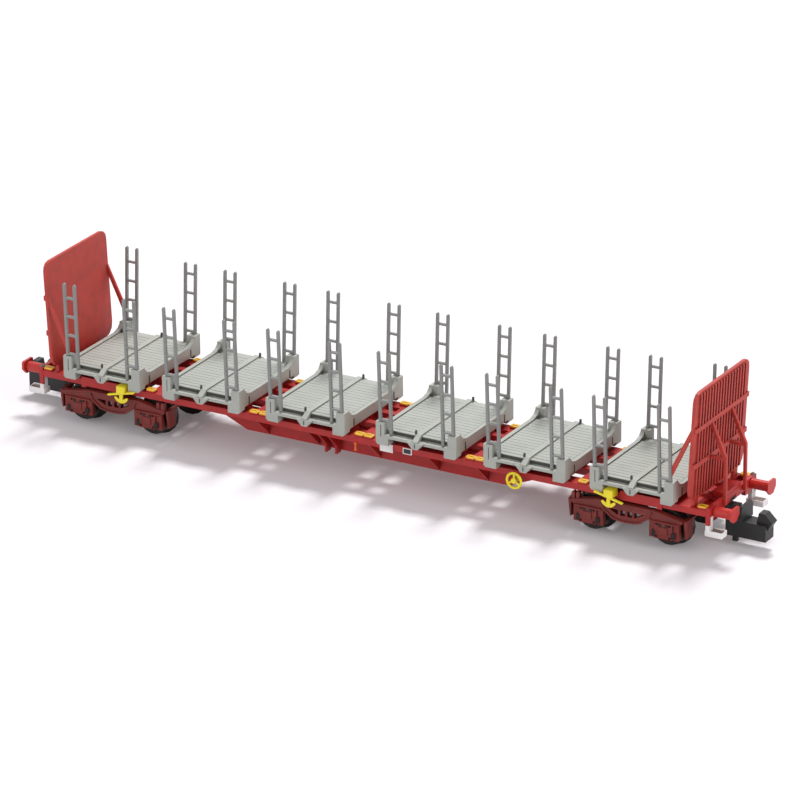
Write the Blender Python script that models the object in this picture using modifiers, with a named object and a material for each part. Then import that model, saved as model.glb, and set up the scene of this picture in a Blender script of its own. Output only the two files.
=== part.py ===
"""Model log wagon for 9 mm track, about 1:160, as a kit of separate moulded pieces.

Axes: X along the wagon, Y across it, Z up. The origin is on the floor that the
wheel flanges stand on, under the middle of the wagon.
"""
import math

import bmesh
import bpy
from mathutils import Matrix, Vector

MM = 0.001

# Clearances.
SEAT = 0.06 * MM            # where one moulding sits on another
RUNNING_GAP = 0.16 * MM     # between pieces that turn past each other
SINK = 0.05 * MM            # how far a moulded-on form reaches into what carries it

# Wheels, and the sizes across the wagon from the wheel backs outwards.
WHEEL_FLANGE_R = 3.0 * MM
WHEEL_TREAD_R = 2.55 * MM
WHEEL_BACK_Y = 3.75 * MM
WHEEL_FLANGE_WIDTH = 0.6 * MM
WHEEL_WIDTH = 2.0 * MM
WHEEL_DISH = 0.35 * MM
WHEEL_SIDE_PLAY = 0.55 * MM
AXLE_R = 0.75 * MM
AXLE_PIN_R = 0.45 * MM
AXLE_PIN_CONE = 0.5 * MM
BOGIE_FRAME_THICKNESS = 0.8 * MM
PIN_COVER = 0.25 * MM       # bogie frame left outside the end of an axle
SOLE_BAR_INSET = 0.3 * MM   # sole bar's outer face, in from the bogie frame's
CRADLE_OVERHANG = 1.2 * MM  # post's outer face, out from the sole bar's
WALL_SIDE_INSET = 0.2 * MM
BUFFER_SIDE_INSET = 1.4 * MM

# Sizes along the wagon, from the middle outwards.
CRADLE_LENGTH = 12.36 * MM
MIDDLE_GAP = 4.84 * MM
INNER_GAP = 4.14 * MM
OUTER_GAP = 3.64 * MM
WALL_GAP = 1.8 * MM
END_DECK_LENGTH = 3.02 * MM
BOGIE_OVERHANG = 12.2 * MM
COUPLER_PIVOT_INSET = 2.5 * MM
STEP_INSET = 0.35 * MM

# Underframe.
FASCIA_BOTTOM_Z = 6.05 * MM
FASCIA_THICKNESS = 0.75 * MM
DECK_TOP_Z = 6.95 * MM
DECK_THICKNESS = 0.6 * MM
SILL_RISE = 0.45 * MM
SILL_INNER_Y = 1.5 * MM
SILL_OUTER_Y = 2.6 * MM
HOLE_OUTER_Y = 4.8 * MM
HOLE_LENGTH = 2.1 * MM
CROSS_BEARER_HALF = 1.1 * MM
WEB_OUTER_Y = 3.5 * MM
WEB_THICKNESS = 0.6 * MM
WEB_FOOT_Z = 3.0 * MM
WEB_TO_PIVOT = 12.4 * MM
WEB_SLOPE_RUN = 7.0 * MM
GUSSET_XS = (-17.1 * MM, -9.1 * MM, 0.5 * MM, 9.6 * MM, 17.1 * MM)
GUSSET_THICKNESS = 0.35 * MM
HANGER_XS = (-7.4 * MM, -5.8 * MM)
HANGER_THICKNESS = 0.3 * MM
HANGER_Y = 4.6 * MM
HANGER_BOTTOM_Z = 2.7 * MM
HEADSTOCK_THICKNESS = 0.6 * MM
HEADSTOCK_TOP_Z = 7.35 * MM
HEADSTOCK_MIDDLE_Z = 6.1 * MM
HEADSTOCK_LOW_Z = 5.35 * MM
HEADSTOCK_ARCH_HALF = 3.6 * MM
DRAW_HOLE_HALF = 0.8 * MM
DRAW_HOLE_HEIGHT = 0.5 * MM
DRAW_HOLE_DEPTH = 0.35 * MM
TRAY_DEPTH = 0.45 * MM
TRAY_LENGTH = 1.6 * MM
TRAY_INNER_Y = 2.6 * MM
TRAY_OUTER_Y = 5.9 * MM
COUPLER_DECK_TOP_Z = 7.85 * MM
COUPLER_DECK_HALF_WIDTH = 2.3 * MM
COUPLER_DECK_LENGTH = 2.0 * MM
BRACKET_THICKNESS = 0.3 * MM
BRACKET_BOTTOM_Z = 4.9 * MM
PLATE_PROUD = 0.15 * MM
PLATE_TOP_Z = 7.3 * MM
PLATE_BOTTOM_Z = 6.0 * MM
PLATE_TAB_Z = 5.78 * MM
PLATE_REACH_IN = 1.0 * MM
PLATE_REACH_OUT = 5.2 * MM
PLATE_TAB_LENGTH = 0.7 * MM
TAB_HALF = 0.6 * MM
TAB_BOTTOM_Z = 5.4 * MM

# Log cradles.
BEAM_BOTTOM_Z = 7.75 * MM
FLOOR_TOP_Z = 9.15 * MM
FLOOR_SIDE_GAP = 0.45 * MM
FOOT_INSET = 1.2 * MM
FOOT_HALF_WIDTH = 3.0 * MM
RIM_RISE = 0.16 * MM
RIM_WIDTH = 0.6 * MM
POST_WIDTH = 1.3 * MM
POST_DEPTH = 1.4 * MM
POST_TOP_Z = 10.42 * MM
POST_BOTTOM_Z = 7.1 * MM
POST_CHAMFER = 0.3 * MM
POST_WEB_LENGTH = 1.9 * MM
RIM_RAMP = 1.6 * MM
SIDE_RAIL_TOP_Z = 8.6 * MM
SIDE_RAIL_HEIGHT = 0.45 * MM
SIDE_RAIL_DEPTH = 0.45 * MM
BAR_WIDTH = 0.8 * MM
BAR_TOP_Z = 9.38 * MM
BAR_REACH = 0.35 * MM
V_BRACKET_HALF_WIDTH = 1.25 * MM
V_BRACKET_BOTTOM_Z = 7.55 * MM

# Stakes.
STAKE_RAIL = 0.38 * MM
STAKE_PITCH = 1.62 * MM
STAKE_END_INSET = 0.58 * MM
STAKE_SIDE_INSET = 0.38 * MM
STAKE_TOP_Z = 20.7 * MM
STAKE_OUTER_FOOT_Z = 9.6 * MM
STAKE_INNER_FOOT_Z = 8.75 * MM
STAKE_RUNG_ZS = (10.7 * MM, 13.5 * MM, 16.3 * MM, 19.1 * MM)
STAKE_RUNG = 0.3 * MM
STAKE_LEAN_DEG = 2.6
END_STAKE_EXTRA = 0.6 * MM

# End walls.
WALL_THICKNESS = 0.45 * MM
WALL_CLEARANCE = 0.9 * MM
WALL_TOP_Z = 23.4 * MM
WALL_LOW_R = 1.8 * MM
WALL_TOP_R = 1.3 * MM
WALL_LEAN_DEG = 3.0
WALL_RIB_COUNT = 17
WALL_RIB_WIDTH = 0.35 * MM
WALL_RIB_DEPTH = 0.22 * MM
WALL_RIB_END = 0.35 * MM
WALL_RAIL_ZS = (13.1 * MM, 18.2 * MM)
WALL_RAIL_WIDTH = 0.7 * MM
WALL_FOOT_Y = 5.8 * MM
WALL_FOOT_HALF_WIDTH = 0.6 * MM
BRACE_Y = 2.9 * MM
BRACE_DEPTH = 0.4 * MM
BRACE_WIDTH = 0.45 * MM
BRACE_FOOT_Z = 6.5 * MM
BRACE_KNEE_Z = 13.2 * MM
BRACE_APEX_Z = 18.9 * MM
STAY_WIDTH = 0.32 * MM
STAY_INSET = 0.2 * MM
STAY_HEIGHT = 1.4 * MM
STAY_LOW_Z = 11.3 * MM
STAY_HIGH_Z = 17.5 * MM

# Bogies.
BOGIE_WHEELBASE = 11.25 * MM
AXLEBOX_PROUD = 0.25 * MM
AXLEBOX_HALF_WIDTH = 2.2 * MM
AXLEBOX_FACE_HALF = 1.32 * MM
AXLEBOX_HEIGHT = 2.4 * MM
LID_PROUD = 0.14 * MM
LID_HALF_WIDTH = 0.62 * MM
LID_HALF_HEIGHT = 0.5 * MM
BOLT_HOLE = 0.34 * MM
BOLT_HOLE_DEPTH = 0.2 * MM
BOGIE_TOP_Z = 5.6 * MM
BOGIE_HALF_LENGTH = 8.3 * MM
BOGIE_SHOULDER = 0.8 * MM
TRUSS_TOP_HALF = 4.0 * MM
TRUSS_SAG = 0.7 * MM
TRUSS_BOTTOM_Z = 2.9 * MM
TRUSS_FLANGE = 0.27 * MM
FLANGE_PROUD = 0.2 * MM
WINDOW_LOW_Z = 3.8 * MM
WINDOW_HIGH_Z = 4.6 * MM
WINDOW_POST = 0.15 * MM
WINDOW_WIDTH = 0.74 * MM
WINDOW_POINT_START = 1.2 * MM
WINDOW_POINT_END = 2.75 * MM
BOLSTER_HALF_LENGTH = 1.7 * MM
BOLSTER_THICKNESS = 1.1 * MM
PIVOT_PIN_R = 1.0 * MM
END_BEAM_THICKNESS = 0.5 * MM
LUG_XS = (7.25 * MM, 7.95 * MM)
LUG_R = 0.25 * MM
LUG_TOP_Z = 5.88 * MM

# Buffers, couplers, steps and brake controls.
BUFFER_Z = 6.5 * MM
BUFFER_SHANK_R = 0.72 * MM
BUFFER_SHANK_LENGTH = 2.65 * MM
BUFFER_HEAD_HALF_WIDTH = 1.2 * MM
BUFFER_HEAD_HALF_HEIGHT = 0.95 * MM
BUFFER_HEAD_CUT = 0.75 * MM
BUFFER_HEAD_THICKNESS = 0.3 * MM
COUPLER_PIN_R = 0.55 * MM
COUPLER_EYE_WALL = 0.45 * MM
COUPLER_SHANK_TOP_Z = 5.7 * MM
COUPLER_SHANK_THICKNESS = 0.9 * MM
COUPLER_SHANK_HALF = 0.65 * MM
COUPLER_BOX_START = 0.5 * MM
COUPLER_BOX_LENGTH = 5.9 * MM
COUPLER_BOX_HALF = 1.2 * MM
COUPLER_BOX_TOP_Z = 3.8 * MM
COUPLER_BOX_HEIGHT = 2.3 * MM
COUPLER_MOUTH_HALF = 0.72 * MM
COUPLER_MOUTH_WALL = 0.5 * MM
COUPLER_MOUTH_DEPTH = 0.9 * MM
FLAP_OFFSET = 2.25 * MM
FLAP_THICKNESS = 0.35 * MM
FLAP_HALF_WIDTH = 1.7 * MM
FLAP_TOP_Z = 6.1 * MM
FLAP_CORNER_R = 0.7 * MM
HOOK_TOP_Z = 5.3 * MM
HOOK_TIP_Z = 4.17 * MM
HOOK_LOW_Z = 2.9 * MM
HOOK_REACH = 0.75 * MM
TRIP_PIN_Z = 0.4 * MM
STEP_THICKNESS = 0.6 * MM
STEP_BOTTOM_Z = 3.4 * MM
STEP_TREAD = 1.45 * MM
STEP_TREAD_THICKNESS = 0.54 * MM
STEP_WIDTH = 1.1 * MM
STEP_TRAY_WALL = 0.15 * MM
STEP_TRAY_DEPTH = 0.2 * MM
HANDWHEEL_INSET = 4.0 * MM
HANDWHEEL_Z = 5.95 * MM
HANDWHEEL_REACH = 1.08 * MM
HANDWHEEL_R = 1.25 * MM
HANDWHEEL_RIM_R = 0.19 * MM
HANDWHEEL_STUB_R = 0.4 * MM
LEVER_TO_PIVOT = 2.05 * MM
LEVER_Z = 6.6 * MM
LEVER_THICKNESS = 0.35 * MM
LEVER_REACH = 1.55 * MM
LEVER_BLOCK_HALF = 0.65 * MM
LEVER_BLOCK_HEIGHT = 1.05 * MM
LEVER_BAR_HALF = 2.05 * MM
LEVER_BAR_DROP = 0.48 * MM
LEVER_BAR_HEIGHT = 0.28 * MM
LEVER_STEM_HALF = 0.25 * MM
LEVER_BOW_R = 1.2 * MM

# Sizes that follow from the ones above.
BOGIE_INNER_Y = WHEEL_BACK_Y + WHEEL_WIDTH + WHEEL_SIDE_PLAY
BOGIE_OUTER_Y = BOGIE_INNER_Y + BOGIE_FRAME_THICKNESS
AXLE_TIP_Y = BOGIE_OUTER_Y - PIN_COVER
HALF_WIDTH = BOGIE_OUTER_Y - SOLE_BAR_INSET
POST_OUTER_Y = HALF_WIDTH + CRADLE_OVERHANG
FLOOR_HALF = POST_OUTER_Y - SIDE_RAIL_DEPTH - FLOOR_SIDE_GAP
STAKE_FOOT_Y = POST_OUTER_Y - STAKE_SIDE_INSET
WALL_HALF_WIDTH = POST_OUTER_Y - WALL_SIDE_INSET
BUFFER_Y = HALF_WIDTH - BUFFER_SIDE_INSET
CRADLE_HALF = CRADLE_LENGTH / 2
CRADLE_X1 = MIDDLE_GAP / 2 + CRADLE_HALF
CRADLE_X2 = CRADLE_X1 + CRADLE_LENGTH + INNER_GAP
CRADLE_X3 = CRADLE_X2 + CRADLE_LENGTH + OUTER_GAP
CRADLE_XS = (-CRADLE_X3, -CRADLE_X2, -CRADLE_X1, CRADLE_X1, CRADLE_X2, CRADLE_X3)
STAKE_OUTER_X = CRADLE_HALF - STAKE_END_INSET
WALL_FOOT_X = CRADLE_X3 + CRADLE_HALF + WALL_GAP
HALF_LENGTH = WALL_FOOT_X + END_DECK_LENGTH
BOGIE_PIVOT_X = HALF_LENGTH - BOGIE_OVERHANG
COUPLER_PIVOT_X = HALF_LENGTH - COUPLER_PIVOT_INSET
COUPLER_BOX_X = HALF_LENGTH - COUPLER_BOX_START
STEP_X = HALF_LENGTH - STEP_INSET
WEB_END_X = BOGIE_PIVOT_X - WEB_TO_PIVOT
HANDWHEEL_X = WEB_END_X - HANDWHEEL_INSET
LEVER_X = BOGIE_PIVOT_X - LEVER_TO_PIVOT
DECK_BOTTOM_Z = DECK_TOP_Z - DECK_THICKNESS
FASCIA_INNER_Y = HALF_WIDTH - FASCIA_THICKNESS
SILL_TOP_Z = DECK_TOP_Z + SILL_RISE
CRADLE_BASE_Z = SILL_TOP_Z + SEAT
WALL_FOOT_Z = DECK_TOP_Z + SEAT
AXLE_Z = WHEEL_FLANGE_R


def clear_scene():
    """Take out whatever the new file starts with."""
    for old in list(bpy.data.objects):
        bpy.data.objects.remove(old, do_unlink=True)


def make_material(name, colour, roughness=0.5, metallic=0.0):
    """Plain moulded finish in the colour of one sub-part."""
    material = bpy.data.materials.new(name)
    material.use_nodes = True
    shader = material.node_tree.nodes["Principled BSDF"]
    shader.inputs["Base Color"].default_value = (*colour, 1.0)
    shader.inputs["Roughness"].default_value = roughness
    shader.inputs["Metallic"].default_value = metallic
    return material


def mesh_object(name, bm):
    """Turn a bmesh into an object of the scene."""
    bmesh.ops.recalc_face_normals(bm, faces=bm.faces)
    mesh = bpy.data.meshes.new(name)
    bm.to_mesh(mesh)
    bm.free()
    made = bpy.data.objects.new(name, mesh)
    bpy.context.scene.collection.objects.link(made)
    return made


def boxes(name, corners):
    """Blocks that stand apart, each given by two values along X, Y and Z in any order."""
    bm = bmesh.new()
    for x0, x1, y0, y1, z0, z1 in corners:
        size = Matrix.Diagonal((abs(x1 - x0), abs(y1 - y0), abs(z1 - z0), 1.0))
        centre = Matrix.Translation(((x0 + x1) / 2, (y0 + y1) / 2, (z0 + z1) / 2))
        bmesh.ops.create_cube(bm, size=1.0, matrix=centre @ size)
    return mesh_object(name, bm)


def box(name, *corners):
    """One block between two corners."""
    return boxes(name, [corners])


def cylinder(name, centre, axis, radius, length, segments=16):
    """Round bar whose middle is at centre."""
    bm = bmesh.new()
    turn = Vector((0, 0, 1)).rotation_difference(Vector(axis)).to_matrix().to_4x4()
    bmesh.ops.create_cone(
        bm, cap_ends=True, segments=segments, radius1=radius, radius2=radius, depth=length,
        matrix=Matrix.Translation(centre) @ turn)
    return mesh_object(name, bm)


PLANES = {
    "XZ": Matrix(((1, 0, 0, 0), (0, 0, -1, 0), (0, 1, 0, 0), (0, 0, 0, 1))),
    "YZ": Matrix(((0, 0, 1, 0), (1, 0, 0, 0), (0, 1, 0, 0), (0, 0, 0, 1))),
}


def plate(name, plane, outlines, side_a, side_b):
    """Flat plate between two faces, cut to outlines: the first its rim, the others its windows."""
    curve = bpy.data.curves.new(name, "CURVE")
    curve.dimensions = "2D"
    curve.fill_mode = "BOTH"
    curve.extrude = abs(side_b - side_a) / 2
    for points in outlines:
        spline = curve.splines.new("POLY")
        spline.points.add(len(points) - 1)
        for point, (u, v) in zip(spline.points, points):
            point.co = (u, v, 0.0, 1.0)
        spline.use_cyclic_u = True
    holder = bpy.data.objects.new(name, curve)
    bpy.context.scene.collection.objects.link(holder)
    bpy.context.view_layer.update()
    graph = bpy.context.evaluated_depsgraph_get()
    mesh = bpy.data.meshes.new_from_object(holder.evaluated_get(graph))
    bpy.data.objects.remove(holder)
    bm = bmesh.new()
    bm.from_mesh(mesh)
    bmesh.ops.remove_doubles(bm, verts=bm.verts, dist=0.001 * MM)
    normal = PLANES[plane] @ Vector((0, 0, 1, 0))
    middle = (side_a + side_b) / 2
    offset = Vector(normal[:3]) * middle * (1 if sum(normal[:3]) > 0 else -1)
    bmesh.ops.transform(bm, matrix=Matrix.Translation(offset) @ PLANES[plane], verts=bm.verts)
    return mesh_object(name, bm)


def combine(target, tool, operation):
    """Add or cut one solid with another, and keep the result as plain mesh."""
    step = target.modifiers.new(operation, "BOOLEAN")
    step.operation = operation
    step.object = tool
    step.solver = "EXACT"
    bpy.context.view_layer.update()
    graph = bpy.context.evaluated_depsgraph_get()
    mesh = bpy.data.meshes.new_from_object(target.evaluated_get(graph))
    target.modifiers.clear()
    target.data = mesh
    bpy.data.objects.remove(tool, do_unlink=True)
    return target


def unite(target, *tools):
    """Make one moulding of several forms."""
    for tool in tools:
        combine(target, tool, "UNION")
    return target


def cut(target, *tools):
    """Take forms out of a moulding."""
    for tool in tools:
        combine(target, tool, "DIFFERENCE")
    return target


def arc(centre, radius, start_deg, end_deg, steps):
    """Points of an arc, both ends included."""
    points = []
    for i in range(steps + 1):
        angle = math.radians(start_deg + (end_deg - start_deg) * i / steps)
        points.append((centre[0] + radius * math.cos(angle), centre[1] + radius * math.sin(angle)))
    return points


def inset(points, distance):
    """Move a convex outline inwards by the same distance all round."""
    count = len(points)
    area = sum(points[i - 1][0] * points[i][1] - points[i][0] * points[i - 1][1] for i in range(count))
    turn = 1 if area > 0 else -1
    moved = []
    for i in range(count):
        here = Vector(points[i])
        before = (here - Vector(points[i - 1])).normalized()
        after = (Vector(points[(i + 1) % count]) - here).normalized()
        across = Vector((-before.y, before.x)) * turn
        middle = (across + Vector((-after.y, after.x)) * turn).normalized()
        moved.append(tuple(here + middle * (distance / middle.dot(across))))
    return moved


def finish(made, name, material, collection, body=None):
    """Name a finished piece, colour it and hang it on its moving body."""
    made.name = name
    made.data.name = name
    made.data.materials.clear()
    made.data.materials.append(material)
    for old in list(made.users_collection):
        old.objects.unlink(made)
    collection.objects.link(made)
    made.data.shade_smooth()
    made.data.set_sharp_from_angle(angle=math.radians(35))
    if body is not None:
        move = Matrix.Translation(-body.location)
        made.data.transform(move)
        made.parent = body
    return made


def pivot_empty(name, location, collection):
    """Empty on a joint's axis, the parent of what turns there."""
    empty = bpy.data.objects.new(name, None)
    empty.location = location
    empty.empty_display_size = 2 * MM
    collection.objects.link(empty)
    bpy.context.view_layer.update()
    return empty


def deck_openings():
    """Holes in the deck on both sides of every cross bearer between two cradles."""
    corners = []
    bands = [(-SILL_INNER_Y, SILL_INNER_Y)]
    bands += [(side * SILL_OUTER_Y, side * HOLE_OUTER_Y) for side in (-1, 1)]
    for left, right in zip(CRADLE_XS[:-1], CRADLE_XS[1:]):
        middle = (left + right) / 2
        for way in (-1, 1):
            x0, x1 = middle + way * CROSS_BEARER_HALF, middle + way * (CROSS_BEARER_HALF + HOLE_LENGTH)
            corners += [(x0, x1, y0, y1, DECK_BOTTOM_Z - MM, DECK_TOP_Z + MM) for y0, y1 in bands]
    return boxes("openings", corners)


def end_trays():
    """Shallow trays in the end decks between the sole bars and the coupler deck."""
    corners = []
    for end in (-1, 1):
        x1 = end * (HALF_LENGTH - HEADSTOCK_THICKNESS)
        for side in (-1, 1):
            corners.append((x1 - end * TRAY_LENGTH, x1, side * TRAY_INNER_Y, side * TRAY_OUTER_Y,
                            DECK_TOP_Z - TRAY_DEPTH, DECK_TOP_Z + MM))
    return boxes("trays", corners)


def sill_web(side):
    """Fish-belly web under one side of the deck."""
    top, start = DECK_BOTTOM_Z + SINK, FASCIA_BOTTOM_Z
    foot_x = WEB_END_X - WEB_SLOPE_RUN
    outline = [(-WEB_END_X, top), (-WEB_END_X, start), (-foot_x, WEB_FOOT_Z), (foot_x, WEB_FOOT_Z),
               (WEB_END_X, start), (WEB_END_X, top)]
    return plate("web", "XZ", [outline], side * WEB_OUTER_Y, side * (WEB_OUTER_Y - WEB_THICKNESS))


def sill_ribs(side):
    """Gussets between web and sole bar, and the two hangers of the brake rod."""
    inner, top = WEB_OUTER_Y - SINK, DECK_BOTTOM_Z + SINK
    outer, low = HALF_WIDTH - SINK, FASCIA_BOTTOM_Z + SINK
    gusset = [(inner, WEB_FOOT_Z + SINK), (outer, low), (outer, top), (inner, top)]
    corner_z = low - (outer - HANGER_Y)
    hanger = [(inner, HANGER_BOTTOM_Z), (HANGER_Y, HANGER_BOTTOM_Z), (HANGER_Y, corner_z),
              (outer, low), (outer, top), (inner, top)]
    ribs = [(x, GUSSET_THICKNESS, gusset) for x in GUSSET_XS]
    ribs += [(x, HANGER_THICKNESS, hanger) for x in HANGER_XS]
    return [plate("rib", "YZ", [[(side * y, z) for y, z in outline]], x - t / 2, x + t / 2)
            for x, t, outline in ribs]


def headstock(end):
    """End beam with deep ends behind the buffers and an arch for the coupler."""
    half = HALF_WIDTH + SINK
    low_y = HALF_WIDTH - STEP_WIDTH - SEAT
    arch = HEADSTOCK_ARCH_HALF
    right = [(arch, HEADSTOCK_MIDDLE_Z), (arch, HEADSTOCK_LOW_Z), (low_y, HEADSTOCK_LOW_Z),
             (low_y, FASCIA_BOTTOM_Z), (half, FASCIA_BOTTOM_Z), (half, HEADSTOCK_TOP_Z)]
    left = [(-y, z) for y, z in reversed(right)]
    face, back = end * HALF_LENGTH, end * (HALF_LENGTH - HEADSTOCK_THICKNESS)
    beam = plate("headstock", "YZ", [left + right], face, back)
    hole_z = HEADSTOCK_MIDDLE_Z + 2 * SINK
    cut(beam, box("draw_hole", face + end * MM, face - end * DRAW_HOLE_DEPTH, -DRAW_HOLE_HALF,
                  DRAW_HOLE_HALF, hole_z, hole_z + DRAW_HOLE_HEIGHT))
    return beam


def build_underframe():
    """Deck with sole bars, sills, fish-belly webs, headstocks and pivot bosses."""
    deck_end = HALF_LENGTH - SINK
    frame = box("frame", -deck_end, deck_end, -HALF_WIDTH, HALF_WIDTH, DECK_BOTTOM_Z, DECK_TOP_Z)
    cut(frame, deck_openings(), end_trays())
    unite(frame, boxes("sole_bars", [
        (-deck_end, deck_end, side * HALF_WIDTH, side * FASCIA_INNER_Y, FASCIA_BOTTOM_Z,
         DECK_BOTTOM_Z + SINK) for side in (-1, 1)]))
    sill_end = HALF_LENGTH - COUPLER_DECK_LENGTH + SINK
    unite(frame, boxes("sills", [
        (-sill_end, sill_end, side * SILL_INNER_Y, side * SILL_OUTER_Y, DECK_BOTTOM_Z + SINK,
         SILL_TOP_Z) for side in (-1, 1)]))
    for side in (-1, 1):
        unite(frame, sill_web(side), *sill_ribs(side))
    wheel_tabs = []
    for end in (-1, 1):
        rise_back = end * (HALF_LENGTH - COUPLER_DECK_LENGTH)
        rise = box("rise", end * (HALF_LENGTH - SINK), rise_back, -COUPLER_DECK_HALF_WIDTH,
                   COUPLER_DECK_HALF_WIDTH, DECK_BOTTOM_Z + SINK, COUPLER_DECK_TOP_Z)
        boss_low, boss_high = BOGIE_TOP_Z + RUNNING_GAP, DECK_BOTTOM_Z + SINK
        boss = cylinder("boss", (end * BOGIE_PIVOT_X, 0, (boss_low + boss_high) / 2), (0, 0, 1),
                        2.2 * PIVOT_PIN_R, boss_high - boss_low)
        pin_bottom = BOGIE_TOP_Z - BOLSTER_THICKNESS - SINK
        pin = cylinder("pin", (end * BOGIE_PIVOT_X, 0, (pin_bottom + boss_high) / 2),
                       (0, 0, 1), PIVOT_PIN_R, boss_high - pin_bottom)
        hang_bottom = COUPLER_SHANK_TOP_Z - COUPLER_SHANK_THICKNESS - SINK
        coupler_pin = cylinder("coupler_pin", (end * COUPLER_PIVOT_X, 0, (hang_bottom + boss_high) / 2),
                               (0, 0, 1), COUPLER_PIN_R, boss_high - hang_bottom, segments=12)
        unite(frame, headstock(end), rise, boss, pin, coupler_pin)
        for side in (-1, 1):
            outer = side * HALF_WIDTH
            bracket = box("bracket", end * (STEP_X - STEP_THICKNESS / 2), end * (STEP_X + STEP_THICKNESS / 2),
                          outer, outer - side * BRACKET_THICKNESS, BRACKET_BOTTOM_Z, FASCIA_BOTTOM_Z + SINK)
            start, stop = BOGIE_PIVOT_X - PLATE_REACH_IN, BOGIE_PIVOT_X + PLATE_REACH_OUT
            tab_x = stop - PLATE_TAB_LENGTH
            outline = [(start, PLATE_TOP_Z), (start, PLATE_BOTTOM_Z), (tab_x, PLATE_BOTTOM_Z),
                       (tab_x, PLATE_TAB_Z), (stop, PLATE_TAB_Z), (stop, PLATE_TOP_Z)]
            cover = plate("cover", "XZ", [[(end * x, z) for x, z in outline]],
                          outer - side * SINK, outer + side * PLATE_PROUD)
            unite(frame, bracket, cover)
            if end > 0:
                wheel_tabs.append((HANDWHEEL_X - TAB_HALF, HANDWHEEL_X + TAB_HALF, outer - side * SINK,
                                   outer - side * FASCIA_THICKNESS, TAB_BOTTOM_Z, FASCIA_BOTTOM_Z + SINK))
    return unite(frame, boxes("wheel_tabs", wheel_tabs))


def cradle_end(end):
    """Raised rim of one cradle end, ramped up to the posts, with the two posts."""
    edge, inner = end * CRADLE_HALF, end * (CRADLE_HALF - RIM_WIDTH)
    top = FLOOR_TOP_Z + RIM_RISE
    post_in = POST_OUTER_Y - POST_DEPTH
    right = [(post_in + SINK, POST_TOP_Z - 4 * SINK), (post_in - 0.35 * RIM_RAMP, top + 0.2 * RIM_RAMP),
             (post_in - RIM_RAMP, top)]
    rim_outline = [(-y, z) for y, z in reversed(right)] + [(-post_in - SINK, BEAM_BOTTOM_Z + SINK),
                                                           (post_in + SINK, BEAM_BOTTOM_Z + SINK)] + right
    rim_outline = rim_outline[3:] + rim_outline[:3]
    rim = plate("rim", "YZ", [rim_outline], edge, inner)
    post_outline = [
        (CRADLE_HALF, POST_BOTTOM_Z + POST_CHAMFER), (CRADLE_HALF, POST_TOP_Z),
        (CRADLE_HALF - POST_WIDTH, POST_TOP_Z), (CRADLE_HALF - POST_WIDTH, SIDE_RAIL_TOP_Z),
        (CRADLE_HALF - POST_WEB_LENGTH, SIDE_RAIL_TOP_Z), (CRADLE_HALF - POST_WEB_LENGTH, POST_BOTTOM_Z),
        (CRADLE_HALF - POST_CHAMFER, POST_BOTTOM_Z),
    ]
    posts = [plate("post", "XZ", [[(end * x, z) for x, z in post_outline]], side * post_in,
                   side * POST_OUTER_Y) for side in (-1, 1)]
    return [rim] + posts


def build_cradle():
    """Bunk for the logs: planked floor, rims, corner posts, side rails and middle bar."""
    floor = box("floor", -CRADLE_HALF, CRADLE_HALF, -FLOOR_HALF, FLOOR_HALF, BEAM_BOTTOM_Z, FLOOR_TOP_Z)
    foot_x = CRADLE_HALF - FOOT_INSET
    unite(floor, box("foot", -foot_x, foot_x, -FOOT_HALF_WIDTH, FOOT_HALF_WIDTH, CRADLE_BASE_Z,
                     BEAM_BOTTOM_Z + SINK))
    unite(floor, *cradle_end(-1), *cradle_end(1))
    rail_half = CRADLE_HALF - POST_WEB_LENGTH + SINK
    unite(floor, boxes("rails", [
        (-rail_half, rail_half, side * POST_OUTER_Y, side * (POST_OUTER_Y - SIDE_RAIL_DEPTH),
         SIDE_RAIL_TOP_Z - SIDE_RAIL_HEIGHT, SIDE_RAIL_TOP_Z - SINK) for side in (-1, 1)]))
    bar_end = POST_OUTER_Y + BAR_REACH
    v_outline = [
        (-V_BRACKET_HALF_WIDTH, SIDE_RAIL_TOP_Z - 2 * SINK), (-BAR_WIDTH / 2, V_BRACKET_BOTTOM_Z),
        (BAR_WIDTH / 2, V_BRACKET_BOTTOM_Z), (V_BRACKET_HALF_WIDTH, SIDE_RAIL_TOP_Z - 2 * SINK),
    ]
    for side in (-1, 1):
        unite(floor, plate("v_bracket", "XZ", [v_outline], side * bar_end, side * (FLOOR_HALF - SINK)))
    bar_tip = bar_end - SINK
    bar_outline = [
        (-bar_tip, SIDE_RAIL_TOP_Z - 4 * SINK), (bar_tip, SIDE_RAIL_TOP_Z - 4 * SINK),
        (bar_tip, SIDE_RAIL_TOP_Z + SINK), (FLOOR_HALF, BAR_TOP_Z),
        (-FLOOR_HALF, BAR_TOP_Z), (-bar_tip, SIDE_RAIL_TOP_Z + SINK),
    ]
    unite(floor, plate("bar", "YZ", [bar_outline], -BAR_WIDTH / 2, BAR_WIDTH / 2))
    half = STAKE_RAIL / 2 + SEAT
    cut(floor, boxes("pockets", [
        (end * STAKE_OUTER_X - half, end * STAKE_OUTER_X + half, side * STAKE_FOOT_Y - half - SEAT,
         side * STAKE_FOOT_Y + half + SEAT, STAKE_OUTER_FOOT_Z - SEAT, POST_TOP_Z + MM)
        for end in (-1, 1) for side in (-1, 1)]))
    return floor


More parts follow.
